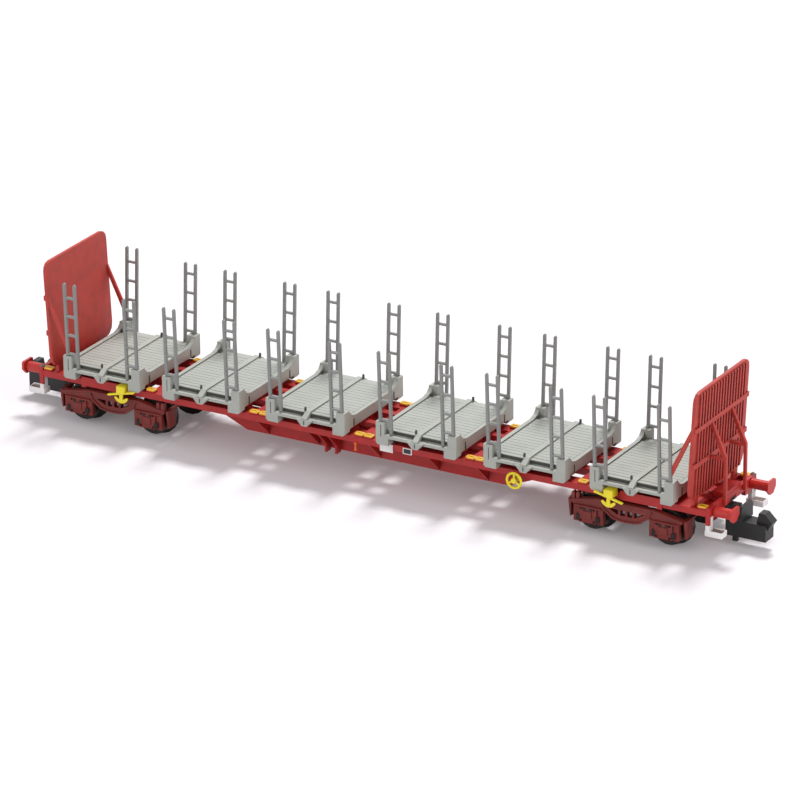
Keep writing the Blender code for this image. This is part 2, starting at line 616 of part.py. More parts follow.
def build_stake(cradle_x, end, side, extra):
    """Ladder stake of two rails and rungs, leaning a little outwards."""
    top = STAKE_TOP_Z + extra
    r = STAKE_RAIL / 2
    outer_x, inner_x = STAKE_OUTER_X, STAKE_OUTER_X - STAKE_PITCH

    def tip(x):
        return arc((x, top - r), r, 180, 0, 2)

    low = min(STAKE_RUNG_ZS) - STAKE_RUNG / 2
    high = max(STAKE_RUNG_ZS) + STAKE_RUNG / 2
    outline = [(inner_x - r, STAKE_INNER_FOOT_Z)] + tip(inner_x)
    outline += [(inner_x + r, high), (outer_x - r, high)] + tip(outer_x)
    outline += [(outer_x + r, STAKE_OUTER_FOOT_Z), (outer_x - r, STAKE_OUTER_FOOT_Z),
                (outer_x - r, low), (inner_x + r, low), (inner_x + r, STAKE_INNER_FOOT_Z)]
    windows = []
    for z0, z1 in zip(STAKE_RUNG_ZS[:-1], STAKE_RUNG_ZS[1:]):
        a, b = z0 + STAKE_RUNG / 2, z1 - STAKE_RUNG / 2
        windows.append([(inner_x + r, a), (outer_x - r, a), (outer_x - r, b), (inner_x + r, b)])
    loops = [[(end * x, z - STAKE_OUTER_FOOT_Z) for x, z in loop] for loop in [outline] + windows]
    stake = plate("stake", "XZ", loops, -r, r)
    lean = Matrix.Rotation(math.radians(-side * STAKE_LEAN_DEG), 4, "X")
    place = Matrix.Translation((cradle_x, side * STAKE_FOOT_Y, STAKE_OUTER_FOOT_Z))
    stake.data.transform(place @ lean)
    return stake


def build_end_wall(end):
    """Ribbed bulkhead that leans outwards, with outside braces and stays to the last stakes."""
    w, low = WALL_HALF_WIDTH, WALL_CLEARANCE
    high = (WALL_TOP_Z - WALL_FOOT_Z) / math.cos(math.radians(WALL_LEAN_DEG))
    low_r, top_r = WALL_LOW_R, WALL_TOP_R
    outline = arc((-w + low_r, low + low_r), low_r, 270, 180, 3) + arc((-w + top_r, high - top_r), top_r, 180, 90, 3)
    outline += arc((w - top_r, high - top_r), top_r, 90, 0, 3) + arc((w - low_r, low + low_r), low_r, 0, -90, 3)
    wall = plate("wall", "YZ", [outline], 0, WALL_THICKNESS)
    out0 = WALL_THICKNESS - SINK
    pitch = (2 * w - 2 * top_r) / (WALL_RIB_COUNT - 1)
    rib_out = WALL_THICKNESS + WALL_RIB_DEPTH
    rib_half = WALL_RIB_WIDTH / 2
    rib_ys = [-w + top_r + i * pitch for i in range(WALL_RIB_COUNT)]
    ribs = boxes("ribs", [(out0, rib_out, y - rib_half, y + rib_half, low + WALL_RIB_END, high - WALL_RIB_END)
                          for y in rib_ys])
    rail_half = WALL_RAIL_WIDTH / 2
    rails = boxes("rails", [(out0 - SINK, rib_out + SINK, -w + SINK, w - SINK, z - WALL_FOOT_Z - rail_half,
                             z - WALL_FOOT_Z + rail_half) for z in WALL_RAIL_ZS])
    feet = boxes("feet", [(0, out0, side * WALL_FOOT_Y - WALL_FOOT_HALF_WIDTH,
                           side * WALL_FOOT_Y + WALL_FOOT_HALF_WIDTH, 0, low + 4 * SINK) for side in (-1, 1)])
    unite(wall, ribs, rails, feet)
    lean = Matrix.Translation((WALL_FOOT_X, 0, WALL_FOOT_Z))
    lean = lean @ Matrix.Rotation(math.radians(WALL_LEAN_DEG), 4, "Y")
    slope = math.tan(math.radians(WALL_LEAN_DEG))

    def wall_x(z):
        return WALL_FOOT_X + WALL_THICKNESS / 2 + (z - WALL_FOOT_Z) * slope

    t = BRACE_DEPTH
    leg_x = HALF_LENGTH + SEAT + t
    brace_outline = [
        (leg_x, BRACE_FOOT_Z), (leg_x, BRACE_KNEE_Z),
        (wall_x(BRACE_APEX_Z) + SINK, BRACE_APEX_Z), (wall_x(BRACE_APEX_Z), BRACE_APEX_Z - 2 * t),
        (leg_x - 1.6 * t, BRACE_KNEE_Z), (wall_x(BRACE_KNEE_Z), BRACE_KNEE_Z),
        (wall_x(BRACE_KNEE_Z), BRACE_KNEE_Z - t), (leg_x - t, BRACE_KNEE_Z - t),
        (leg_x - t, BRACE_FOOT_Z),
    ]
    stay_x = CRADLE_X3 + STAKE_OUTER_X + STAKE_RAIL / 2 + SEAT
    stay_outline = [
        (stay_x, STAY_LOW_Z), (stay_x, STAY_LOW_Z + STAY_HEIGHT),
        (wall_x(STAY_HIGH_Z + STAY_HEIGHT), STAY_HIGH_Z + STAY_HEIGHT), (wall_x(STAY_HIGH_Z), STAY_HIGH_Z),
    ]
    stay_y = WALL_HALF_WIDTH - STAY_INSET
    for outline, y, width in ((brace_outline, BRACE_Y, BRACE_WIDTH), (stay_outline, stay_y, STAY_WIDTH)):
        for side in (-1, 1):
            brace = plate("brace", "XZ", [outline], side * y - width / 2, side * y + width / 2)
            brace.data.transform(lean.inverted())
            unite(wall, brace)
    wall.data.transform(lean)
    if end < 0:
        wall.data.transform(Matrix.Rotation(math.pi, 4, "Z"))
    return wall


def build_wheelset(axle_x):
    """Axle with its two flanged wheels, one turned piece."""
    face_y = WHEEL_BACK_Y + WHEEL_WIDTH
    flange_y = WHEEL_BACK_Y + WHEEL_FLANGE_WIDTH
    half_profile = [
        (AXLE_PIN_R, AXLE_TIP_Y - AXLE_PIN_CONE), (AXLE_PIN_R, face_y - WHEEL_DISH / 2),
        (WHEEL_TREAD_R * 0.74, face_y - WHEEL_DISH), (WHEEL_TREAD_R * 0.8, face_y),
        (WHEEL_TREAD_R, face_y), (WHEEL_TREAD_R, flange_y),
        (WHEEL_FLANGE_R, flange_y - WHEEL_FLANGE_WIDTH / 2), (WHEEL_FLANGE_R, WHEEL_BACK_Y),
        (AXLE_R, WHEEL_BACK_Y),
    ]
    profile = half_profile + [(radius, -y) for radius, y in reversed(half_profile)]
    bm = bmesh.new()
    points = [(0.0, AXLE_TIP_Y)] + profile + [(0.0, -AXLE_TIP_Y)]
    verts = [bm.verts.new((radius, 0.0, y)) for radius, y in points]
    for a, b in zip(verts[:-1], verts[1:]):
        bm.edges.new((a, b))
    turned = mesh_object("wheelset", bm)
    screw = turned.modifiers.new("turn", "SCREW")
    screw.steps = 18
    screw.render_steps = 18
    screw.use_merge_vertices = True
    screw.merge_threshold = 0.001 * MM
    bpy.context.view_layer.update()
    graph = bpy.context.evaluated_depsgraph_get()
    mesh = bpy.data.meshes.new_from_object(turned.evaluated_get(graph))
    turned.modifiers.clear()
    turned.data = mesh
    turned.data.transform(Matrix.Translation((axle_x, 0, AXLE_Z)) @ Matrix.Rotation(math.pi / 2, 4, "X"))
    return turned


def truss_curve():
    """Lower edge of the lens truss from left to right, a flat bow between the axleboxes."""
    reach = BOGIE_WHEELBASE / 2 - AXLEBOX_HALF_WIDTH
    return [(x * reach, TRUSS_BOTTOM_Z + TRUSS_SAG * x * x) for x in (-0.6, -0.3, 0, 0.3, 0.6)]


def bogie_side(side):
    """One moulded side frame: pierced plate, flanges round the truss, axleboxes with lids."""
    half = BOGIE_WHEELBASE / 2
    box_low, box_high = AXLE_Z - AXLEBOX_HEIGHT / 2, AXLE_Z + AXLEBOX_HEIGHT / 2
    reach = half - AXLEBOX_HALF_WIDTH
    shoulder_z = BOGIE_TOP_Z - BOGIE_SHOULDER
    right = [
        (reach, box_high), (reach, box_low), (half + AXLEBOX_HALF_WIDTH, box_low),
        (half + AXLEBOX_HALF_WIDTH, box_high), (BOGIE_HALF_LENGTH, box_high + 4 * SINK),
        (BOGIE_HALF_LENGTH, shoulder_z), (TRUSS_TOP_HALF, BOGIE_TOP_Z),
    ]
    left = [(-x, z) for x, z in reversed(right)]
    windows = []
    for sign in (-1, 1):
        a, b = sign * WINDOW_POST, sign * (WINDOW_POST + WINDOW_WIDTH)
        windows.append([(a, WINDOW_LOW_Z), (b, WINDOW_LOW_Z), (b, WINDOW_HIGH_Z), (a, WINDOW_HIGH_Z)])
        windows.append([(sign * WINDOW_POINT_START, WINDOW_LOW_Z), (sign * WINDOW_POINT_END, WINDOW_HIGH_Z - SINK),
                        (sign * WINDOW_POINT_START, WINDOW_HIGH_Z)])
    y_out = side * BOGIE_OUTER_Y
    frame = plate("side", "XZ", [left + truss_curve() + right] + windows, side * BOGIE_INNER_Y, y_out)
    truss = [(-TRUSS_TOP_HALF, BOGIE_TOP_Z), (-reach, box_high)] + truss_curve()
    truss += [(reach, box_high), (TRUSS_TOP_HALF, BOGIE_TOP_Z)]
    low, high = y_out - side * SINK, y_out + side * FLANGE_PROUD
    ring = plate("ring", "XZ", [inset(truss, SINK), inset(truss, TRUSS_FLANGE)], low, high)
    unite(frame, ring)
    for end in (-1, 1):
        start = TRUSS_TOP_HALF - 2 * SINK
        chord = [(start, BOGIE_TOP_Z - SINK), (BOGIE_HALF_LENGTH - SINK, shoulder_z - SINK),
                 (BOGIE_HALF_LENGTH - SINK, shoulder_z - TRUSS_FLANGE), (start, BOGIE_TOP_Z - TRUSS_FLANGE)]
        chord_plate = plate("chord", "XZ", [[(end * x, z) for x, z in chord]], low, high - side * SINK)
        face = y_out + side * AXLEBOX_PROUD
        axlebox = box("axlebox", end * half - AXLEBOX_FACE_HALF, end * half + AXLEBOX_FACE_HALF,
                      y_out - side * SINK, face, box_low + SINK, box_high)
        lid = box("lid", end * half - LID_HALF_WIDTH, end * half + LID_HALF_WIDTH, face - side * SINK,
                  face + side * LID_PROUD, AXLE_Z - LID_HALF_HEIGHT, AXLE_Z + LID_HALF_HEIGHT)
        unite(frame, chord_plate, axlebox, lid)
        hole_x, hole_z = (AXLEBOX_FACE_HALF + LID_HALF_WIDTH) / 2, AXLEBOX_HEIGHT / 2 - BOLT_HOLE
        r = BOLT_HOLE / 2
        cut(frame, boxes("bolt_holes", [
            (end * half + i * hole_x - r, end * half + i * hole_x + r, face + side * MM,
             face - side * BOLT_HOLE_DEPTH, AXLE_Z + j * hole_z - r, AXLE_Z + j * hole_z + r)
            for i in (-1, 1) for j in (-1, 1)]))
    for x in LUG_XS:
        lug_low = shoulder_z - TRUSS_FLANGE
        lug = [(-x - LUG_R, lug_low)] + arc((-x, LUG_TOP_Z - LUG_R), LUG_R, 180, 0, 4) + [(-x + LUG_R, lug_low)]
        unite(frame, plate("lug", "XZ", [lug], side * (BOGIE_INNER_Y + 2 * SINK), y_out - side * SINK))
    return frame


def build_bogie():
    """Two-axle bogie frame for the right-hand end, centred on its pivot."""
    half = BOGIE_WHEELBASE / 2
    box_high = AXLE_Z + AXLEBOX_HEIGHT / 2
    bogie = box("bolster", -BOLSTER_HALF_LENGTH, BOLSTER_HALF_LENGTH, -BOGIE_INNER_Y - SINK,
                BOGIE_INNER_Y + SINK, BOGIE_TOP_Z - BOLSTER_THICKNESS, BOGIE_TOP_Z - SINK)
    unite(bogie, bogie_side(-1), bogie_side(1))
    for end in (-1, 1):
        unite(bogie, box("beam", end * (BOGIE_HALF_LENGTH - SINK), end * (BOGIE_HALF_LENGTH + END_BEAM_THICKNESS),
                         -BOGIE_INNER_Y - SINK, BOGIE_INNER_Y + SINK, box_high + 6 * SINK,
                         BOGIE_TOP_Z - BOGIE_SHOULDER - SINK))
        for side in (-1, 1):
            bore_y0, bore_y1 = side * (BOGIE_INNER_Y - MM), side * (AXLE_TIP_Y + SEAT)
            centre = (end * half, (bore_y0 + bore_y1) / 2, AXLE_Z)
            cut(bogie, cylinder("bore", centre, (0, 1, 0), AXLE_PIN_R + RUNNING_GAP / 2,
                                abs(bore_y1 - bore_y0), segments=12))
    cut(bogie, cylinder("pivot_hole", (0, 0, BOGIE_TOP_Z), (0, 0, 1), PIVOT_PIN_R + RUNNING_GAP / 2,
                        4 * BOLSTER_THICKNESS))
    return bogie


def build_buffer(end, side):
    """Round shank with a broad, thin head, cut away at its lower corners."""
    x0 = HALF_LENGTH + SEAT
    x1 = x0 + BUFFER_SHANK_LENGTH
    shank = cylinder("shank", (end * (x0 + x1) / 2, side * BUFFER_Y, BUFFER_Z), (1, 0, 0),
                     BUFFER_SHANK_R, BUFFER_SHANK_LENGTH, segments=12)
    w, h, c = BUFFER_HEAD_HALF_WIDTH, BUFFER_HEAD_HALF_HEIGHT, BUFFER_HEAD_CUT
    outline = [(-w, h - 4 * SINK), (-w + 4 * SINK, h), (w - 4 * SINK, h), (w, h - 4 * SINK), (w, c - h),
               (w - c, -h), (c - w, -h), (-w, c - h)]
    outline = [(y + side * BUFFER_Y, z + BUFFER_Z) for y, z in outline]
    return unite(shank, plate("head", "YZ", [outline], end * (x1 - SINK), end * (x1 + BUFFER_HEAD_THICKNESS)))


def build_coupler():
    """Hook coupler at the right-hand end: eye, shank, box, flap and raised hook."""
    top, low = COUPLER_SHANK_TOP_Z, COUPLER_SHANK_TOP_Z - COUPLER_SHANK_THICKNESS
    w, bw = COUPLER_SHANK_HALF, COUPLER_BOX_HALF
    eye_r = COUPLER_PIN_R + RUNNING_GAP / 2 + COUPLER_EYE_WALL
    arm = cylinder("eye", (COUPLER_PIVOT_X, 0, (top + low) / 2), (0, 0, 1), eye_r, top - low)
    x0, x1 = COUPLER_BOX_X, COUPLER_BOX_X + COUPLER_BOX_LENGTH
    bt, bb = COUPLER_BOX_TOP_Z, COUPLER_BOX_TOP_Z - COUPLER_BOX_HEIGHT
    wall = COUPLER_MOUTH_WALL
    shank_end = x0 + 3 * wall
    shank = box("shank", COUPLER_PIVOT_X + COUPLER_PIN_R, shank_end, -w, w, low, top - SINK)
    drop = box("drop", x0 + wall, shank_end - SINK, -w, w, bt - SINK, low + SINK)
    head = box("head", x0, x1, -bw, bw, bb, bt)
    f, r = FLAP_HALF_WIDTH, FLAP_CORNER_R
    flap_outline = [(-f, bt - SINK)] + arc((-f + r, FLAP_TOP_Z - r), r, 180, 90, 3)
    flap_outline += arc((f - r, FLAP_TOP_Z - r), r, 90, 0, 3) + [(f, bt - SINK)]
    flap = plate("flap", "YZ", [flap_outline], x0 + FLAP_OFFSET, x0 + FLAP_OFFSET + FLAP_THICKNESS)
    hook_outline = [
        (x1 - 3.2 * wall, bt - SINK), (x1 - 2.5 * wall, HOOK_TOP_Z), (x1 - 0.8 * wall, HOOK_TOP_Z),
        (x1 + HOOK_REACH, HOOK_TIP_Z), (x1 - SINK, HOOK_LOW_Z), (x1 - 3.2 * wall, HOOK_LOW_Z),
    ]
    hook = plate("hook", "XZ", [hook_outline], -COUPLER_MOUTH_HALF, COUPLER_MOUTH_HALF)
    unite(arm, shank, drop, head, flap, hook)
    cut(arm, cylinder("eye_hole", (COUPLER_PIVOT_X, 0, (top + low) / 2), (0, 0, 1),
                      COUPLER_PIN_R + RUNNING_GAP / 2, 4 * COUPLER_SHANK_THICKNESS, segments=12))
    mouth_z = bb + COUPLER_MOUTH_DEPTH
    cut(arm, box("mouth", x0 + wall, x1 - wall, -COUPLER_MOUTH_HALF, COUPLER_MOUTH_HALF, bb - MM, mouth_z))
    trip = box("trip", x0 + 1.2 * wall, x0 + 2.6 * wall, -0.6 * wall, 0.6 * wall, TRIP_PIN_Z, mouth_z + SINK)
    lug = box("lug", x1 - 2.6 * wall, x1 - 1.8 * wall, COUPLER_MOUTH_HALF + SINK, bw - SINK,
              bb - 4 * SINK, bb + SINK)
    return unite(arm, trip, lug)


def build_step(end, side):
    """Corner step: strap behind the frame's bracket, and a tread with a shallow tray."""
    x, t = STEP_X, STEP_THICKNESS
    neck_z = BRACKET_BOTTOM_Z - SEAT
    tip_x, tread_z = x + t / 2 + STEP_TREAD, STEP_BOTTOM_Z + STEP_TREAD_THICKNESS
    outline = [
        (x - t / 2, STEP_BOTTOM_Z), (tip_x, STEP_BOTTOM_Z), (tip_x, tread_z), (x + t / 2, tread_z),
        (x + t / 2, neck_z), (x - t / 2, neck_z),
    ]
    y0, y1 = side * HALF_WIDTH, side * (HALF_WIDTH - STEP_WIDTH)
    step = plate("step", "XZ", [[(end * u, v) for u, v in outline]], y0, y1)
    strap_y = side * (HALF_WIDTH - BRACKET_THICKNESS - SEAT)
    strap = box("strap", end * (x - t / 2), end * (x + t / 2), strap_y, y1, neck_z - SINK,
                FASCIA_BOTTOM_Z - SEAT)
    wall = STEP_TRAY_WALL
    tray = box("tray", end * (x + t / 2 + wall), end * (tip_x - wall), y0 - side * wall, y1 + side * wall,
               tread_z - STEP_TRAY_DEPTH, tread_z + MM)
    return cut(unite(step, strap), tray)


def build_handwheel(side):
    """Three-spoked brake wheel on a stub from the tab under the sole bar."""
    y = HALF_WIDTH + HANDWHEEL_REACH
    x, z = HANDWHEEL_X, HANDWHEEL_Z
    bm = bmesh.new()
    steps, ring = 18, 6
    loops = []
    for i in range(steps):
        a = 2 * math.pi * i / steps
        loop = []
        for j in range(ring):
            b = 2 * math.pi * j / ring
            radius = HANDWHEEL_R - HANDWHEEL_RIM_R + HANDWHEEL_RIM_R * math.cos(b)
            loop.append(bm.verts.new((x + radius * math.cos(a), y + HANDWHEEL_RIM_R * math.sin(b),
                                      z + radius * math.sin(a))))
        loops.append(loop)
    for i in range(steps):
        for j in range(ring):
            bm.faces.new((loops[i][j], loops[(i + 1) % steps][j],
                          loops[(i + 1) % steps][(j + 1) % ring], loops[i][(j + 1) % ring]))
    wheel = mesh_object("rim", bm)
    stub_low = HALF_WIDTH + SEAT
    stub_high = y + HANDWHEEL_RIM_R
    hub = cylinder("hub", (x, (stub_low + stub_high) / 2, z), (0, 1, 0), HANDWHEEL_STUB_R,
                   stub_high - stub_low, segments=10)
    unite(wheel, hub)
    for k in range(3):
        a = math.radians(90 + 120 * k)
        reach = HANDWHEEL_R - HANDWHEEL_RIM_R
        mid = (x + reach / 2 * math.cos(a), y, z + reach / 2 * math.sin(a))
        unite(wheel, cylinder("spoke", mid, (math.cos(a), 0, math.sin(a)), HANDWHEEL_RIM_R * 0.8,
                              reach, segments=6))
    if side < 0:
        wheel.data.transform(Matrix.Scale(-1, 4, (0, 1, 0)))
        wheel.data.flip_normals()
    return wheel


def build_lever(end, side):
    """Change-over lever: block on the sole bar, cross handle and bow in front of it."""
    t, x, z = LEVER_THICKNESS, LEVER_X, LEVER_Z
    y0 = HALF_WIDTH + SEAT
    y1 = y0 + LEVER_REACH
    block = box("block", end * (x - LEVER_BLOCK_HALF), end * (x + LEVER_BLOCK_HALF), y0, y1, z,
                z + LEVER_BLOCK_HEIGHT)
    a, d, h = LEVER_BAR_HALF, LEVER_BAR_DROP, LEVER_BAR_HEIGHT / 2
    bar_outline = [(x - a, z + d - h), (x - a - h, z + d), (x - a, z + d + h), (x + a, z - d + h),
                   (x + a + h, z - d), (x + a, z - d - h)]
    bow_z = z - 0.2 * LEVER_BOW_R
    bow_outline = arc((x, bow_z), LEVER_BOW_R, 205, 335, 6)
    bow_outline += arc((x, bow_z + 0.45 * LEVER_BOW_R), LEVER_BOW_R, 318, 222, 4)
    stem = box("stem", end * (x - LEVER_STEM_HALF), end * (x + LEVER_STEM_HALF), y1 - t, y1 - 2 * SINK,
               bow_z - 0.8 * LEVER_BOW_R, z + SINK)
    bar = plate("bar", "XZ", [[(end * u, v) for u, v in bar_outline]], y1 - t, y1 - SINK)
    bow = plate("bow", "XZ", [[(end * u, v) for u, v in bow_outline]], y1 - t + SINK, y1 - 3 * SINK)
    unite(block, stem, bar, bow)
    if side < 0:
        block.data.transform(Matrix.Scale(-1, 4, (0, 1, 0)))
        block.data.flip_normals()
    return block


def build_wagon():
    """Make every piece and hang the moving ones on their pivots."""
    parts = bpy.data.collections.new("log_wagon")
    bpy.context.scene.collection.children.link(parts)
    red = make_material("frame_red", (0.42, 0.028, 0.03), 0.5)
    wall_red = make_material("wall_red", (0.40, 0.055, 0.045), 0.5)
    bogie_brown = make_material("bogie_brown", (0.13, 0.022, 0.018), 0.55)
    cradle_grey = make_material("cradle_grey", (0.47, 0.48, 0.43), 0.5)
    stake_grey = make_material("stake_grey", (0.25, 0.25, 0.24), 0.45)
    black = make_material("coupler_black", (0.012, 0.013, 0.013), 0.5)
    wheel_dark = make_material("wheel_dark", (0.03, 0.03, 0.03), 0.4, 0.6)
    white = make_material("step_white", (0.72, 0.7, 0.68), 0.45)
    yellow = make_material("control_yellow", (0.85, 0.68, 0.03), 0.45)

    finish(build_underframe(), "underframe", red, parts)
    for i, x in enumerate(CRADLE_XS, start=1):
        cradle = build_cradle()
        cradle.data.transform(Matrix.Translation((x, 0, 0)))
        finish(cradle, "cradle_%d" % i, cradle_grey, parts)
        for end, end_name in ((-1, "left"), (1, "right")):
            outermost = (i == 1 and end < 0) or (i == len(CRADLE_XS) and end > 0)
            extra = END_STAKE_EXTRA if outermost else 0.0
            for side, side_name in ((-1, "near"), (1, "far")):
                stake = build_stake(x, end, side, extra)
                finish(stake, "stake_%d_%s_%s" % (i, end_name, side_name), stake_grey, parts)

    half_turn = Matrix.Rotation(math.pi, 4, "Z")
    for end, end_name in ((-1, "left"), (1, "right")):
        finish(build_end_wall(end), "end_wall_%s" % end_name, wall_red, parts)
        for side, side_name in ((-1, "near"), (1, "far")):
            corner = "%s_%s" % (end_name, side_name)
            finish(build_buffer(end, side), "buffer_" + corner, red, parts)
            finish(build_step(end, side), "step_" + corner, white, parts)
            finish(build_lever(end, side), "lever_" + corner, yellow, parts)
        pivot = pivot_empty("coupler_pivot_" + end_name, (end * COUPLER_PIVOT_X, 0, COUPLER_SHANK_TOP_Z), parts)
        coupler = build_coupler()
        bogie = build_bogie()
        if end < 0:
            coupler.data.transform(half_turn)
            bogie.data.transform(half_turn)
        finish(coupler, "coupler_" + end_name, black, parts, pivot)

        centre = Vector((end * BOGIE_PIVOT_X, 0, 0))
        bogie_pivot = pivot_empty("bogie_pivot_" + end_name, centre + Vector((0, 0, BOGIE_TOP_Z)), parts)
        bogie.data.transform(Matrix.Translation(centre))
        finish(bogie, "bogie_frame_" + end_name, bogie_brown, parts, bogie_pivot)
        for axle, axle_name in ((-1, "a"), (1, "b")):
            axle_x = end * BOGIE_PIVOT_X + axle * BOGIE_WHEELBASE / 2
            axle_empty = pivot_empty("axle_%s_%s" % (end_name, axle_name), (axle_x, 0, AXLE_Z), parts)
            wheelset = build_wheelset(axle_x)
            finish(wheelset, "wheelset_%s_%s" % (end_name, axle_name), wheel_dark, parts, axle_empty)
            axle_empty.parent = bogie_pivot
            axle_empty.location = axle_empty.location - bogie_pivot.location
    for side, side_name in ((-1, "near"), (1, "far")):
        finish(build_handwheel(side), "handwheel_" + side_name, yellow, parts)


clear_scene()
build_wagon()
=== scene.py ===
import math
import bpy
from mathutils import Euler, Matrix, Vector


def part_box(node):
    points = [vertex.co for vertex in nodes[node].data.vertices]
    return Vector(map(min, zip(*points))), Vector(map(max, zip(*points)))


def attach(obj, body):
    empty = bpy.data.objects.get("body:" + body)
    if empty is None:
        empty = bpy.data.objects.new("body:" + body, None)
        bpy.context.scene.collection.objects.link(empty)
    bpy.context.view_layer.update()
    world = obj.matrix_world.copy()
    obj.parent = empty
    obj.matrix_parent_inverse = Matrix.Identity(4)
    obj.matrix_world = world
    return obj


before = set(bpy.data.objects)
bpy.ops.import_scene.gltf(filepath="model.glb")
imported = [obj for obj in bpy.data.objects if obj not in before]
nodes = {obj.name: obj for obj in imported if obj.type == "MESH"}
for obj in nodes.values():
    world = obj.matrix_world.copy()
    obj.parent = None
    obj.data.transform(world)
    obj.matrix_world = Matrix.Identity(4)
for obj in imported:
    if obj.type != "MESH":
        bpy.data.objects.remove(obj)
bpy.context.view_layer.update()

bpy.ops.object.select_all(action="DESELECT")
MM = 0.001

# Camera. A long lens some 0.8 m from the model, looking down on the near side from the
# right-hand end, as one photographs a small model on a table.
CAMERA_AIM = Vector((-0.505, 3.771, 8.678)) * MM
CAMERA_DISTANCE = 812.05 * MM
CAMERA_AZIMUTH = math.radians(29.703)
CAMERA_ELEVATION = math.radians(22.111)
CAMERA_ROLL = math.radians(-0.365)
CAMERA_LENS = 268.36

bpy.ops.object.camera_add()
camera = bpy.context.object
camera.name = "camera"
turn = Euler((math.pi / 2 - CAMERA_ELEVATION, 0.0, CAMERA_AZIMUTH)).to_matrix()
camera.location = CAMERA_AIM + turn @ Vector((0.0, 0.0, CAMERA_DISTANCE))
camera.rotation_euler = (turn @ Euler((0.0, 0.0, CAMERA_ROLL)).to_matrix()).to_euler()
camera.data.lens = CAMERA_LENS
camera.data.clip_start = 0.05
camera.data.clip_end = 20.0
bpy.context.scene.camera = camera
bpy.context.scene.view_settings.view_transform = "Standard"

# Floor and room. A white table top that keeps the model's soft shadow; what the camera sees
# past it is white too. The room's own light is a weak, even grey.
FLOOR_SIZE = 4.0
FLOOR_DROP = 0.02 * MM
FLOOR_COLOUR = (0.79, 0.758, 0.785, 1.0)
FLOOR_GLOW = 0.1
ROOM_COLOUR = (0.97, 0.97, 1.0, 1.0)
ROOM_LEVEL = 0.34

bpy.ops.mesh.primitive_plane_add(size=FLOOR_SIZE, location=(0.0, 0.0, -FLOOR_DROP))
floor = bpy.context.object
floor.name = "floor"
bpy.ops.object.transform_apply(location=True)
table_white = bpy.data.materials.new("table_white")
table_white.use_nodes = True
tree = table_white.node_tree
tree.nodes.clear()
out = tree.nodes.new("ShaderNodeOutputMaterial")
paper = tree.nodes.new("ShaderNodeBsdfDiffuse")
paper.inputs["Color"].default_value = FLOOR_COLOUR
glow = tree.nodes.new("ShaderNodeEmission")
seen = tree.nodes.new("ShaderNodeLightPath")
level = tree.nodes.new("ShaderNodeMath")
level.operation = "MULTIPLY"
level.inputs[1].default_value = FLOOR_GLOW
both = tree.nodes.new("ShaderNodeAddShader")
tree.links.new(seen.outputs["Is Camera Ray"], level.inputs[0])
tree.links.new(level.outputs[0], glow.inputs["Strength"])
tree.links.new(paper.outputs[0], both.inputs[0])
tree.links.new(glow.outputs[0], both.inputs[1])
tree.links.new(both.outputs[0], out.inputs["Surface"])
floor.data.materials.append(table_white)

room = bpy.data.worlds.new("room")
bpy.context.scene.world = room
room.use_nodes = True
tree = room.node_tree
tree.nodes.clear()
out = tree.nodes.new("ShaderNodeOutputWorld")
dim = tree.nodes.new("ShaderNodeBackground")
dim.inputs["Color"].default_value = ROOM_COLOUR
dim.inputs["Strength"].default_value = ROOM_LEVEL
white = tree.nodes.new("ShaderNodeBackground")
white.inputs["Color"].default_value = (1.0, 1.0, 1.0, 1.0)
seen = tree.nodes.new("ShaderNodeLightPath")
first = tree.nodes.new("ShaderNodeMath")
first.operation = "ADD"
second = tree.nodes.new("ShaderNodeMath")
second.operation = "ADD"
second.use_clamp = True
mix = tree.nodes.new("ShaderNodeMixShader")
tree.links.new(seen.outputs["Is Camera Ray"], first.inputs[0])
tree.links.new(seen.outputs["Is Glossy Ray"], first.inputs[1])
tree.links.new(first.outputs[0], second.inputs[0])
tree.links.new(seen.outputs["Is Transmission Ray"], second.inputs[1])
tree.links.new(second.outputs[0], mix.inputs["Fac"])
tree.links.new(dim.outputs[0], mix.inputs[1])
tree.links.new(white.outputs[0], mix.inputs[2])
tree.links.new(mix.outputs[0], out.inputs["Surface"])

# Lamps. The main soft box stands high behind the wagon, so its shadow falls to the near side; a
# weak one in front and one off the right-hand end lighten the faces that look that way.
LAMPS = (("soft_box", (-0.05, 0.42, 0.85), 7.6, 0.22),
         ("front_fill", (-0.25, -0.8, 0.45), 2.2, 0.6),
         ("end_fill", (0.75, -0.2, 0.35), 2.4, 0.4))

for lamp_name, place, power, size in LAMPS:
    bpy.ops.object.light_add(type="AREA", location=place)
    lamp = bpy.context.object
    lamp.name = lamp_name
    lamp.data.energy = power
    lamp.data.size = size
    lamp.rotation_euler = (-lamp.location).to_track_quat("-Z", "Y").to_euler()

# Underframe. One moulding in glossy carmine plastic: deck, sole bars, fish-belly webs and
# headstocks. The colour is in the plastic; edges get a painted highlight, and hollows get painted shade.
MOTTLE_SCALE = 620.0
MOTTLE_BAND = (0.32, 0.68)
GRAIN_SCALE = 5200.0
GRAIN_DEPTH = 0.02 * MM
EDGE_BAND = (0.99, 0.86)
EDGE_STRENGTH = 0.6
HOLLOW_REACH = 0.6 * MM
HOLLOW_BAND = (0.3, 0.85)


def srgb(red, green, blue):
    """Colour as a picture shows it, 0 to 255, turned into the shader's scale."""
    return tuple(((c / 255 + 0.055) / 1.055) ** 2.4 for c in (red, green, blue)) + (1.0,)


def shaded(colour, factor):
    """The same colour lighter or darker."""
    return tuple(min(c * factor, 1.0) for c in colour[:3]) + (1.0,)


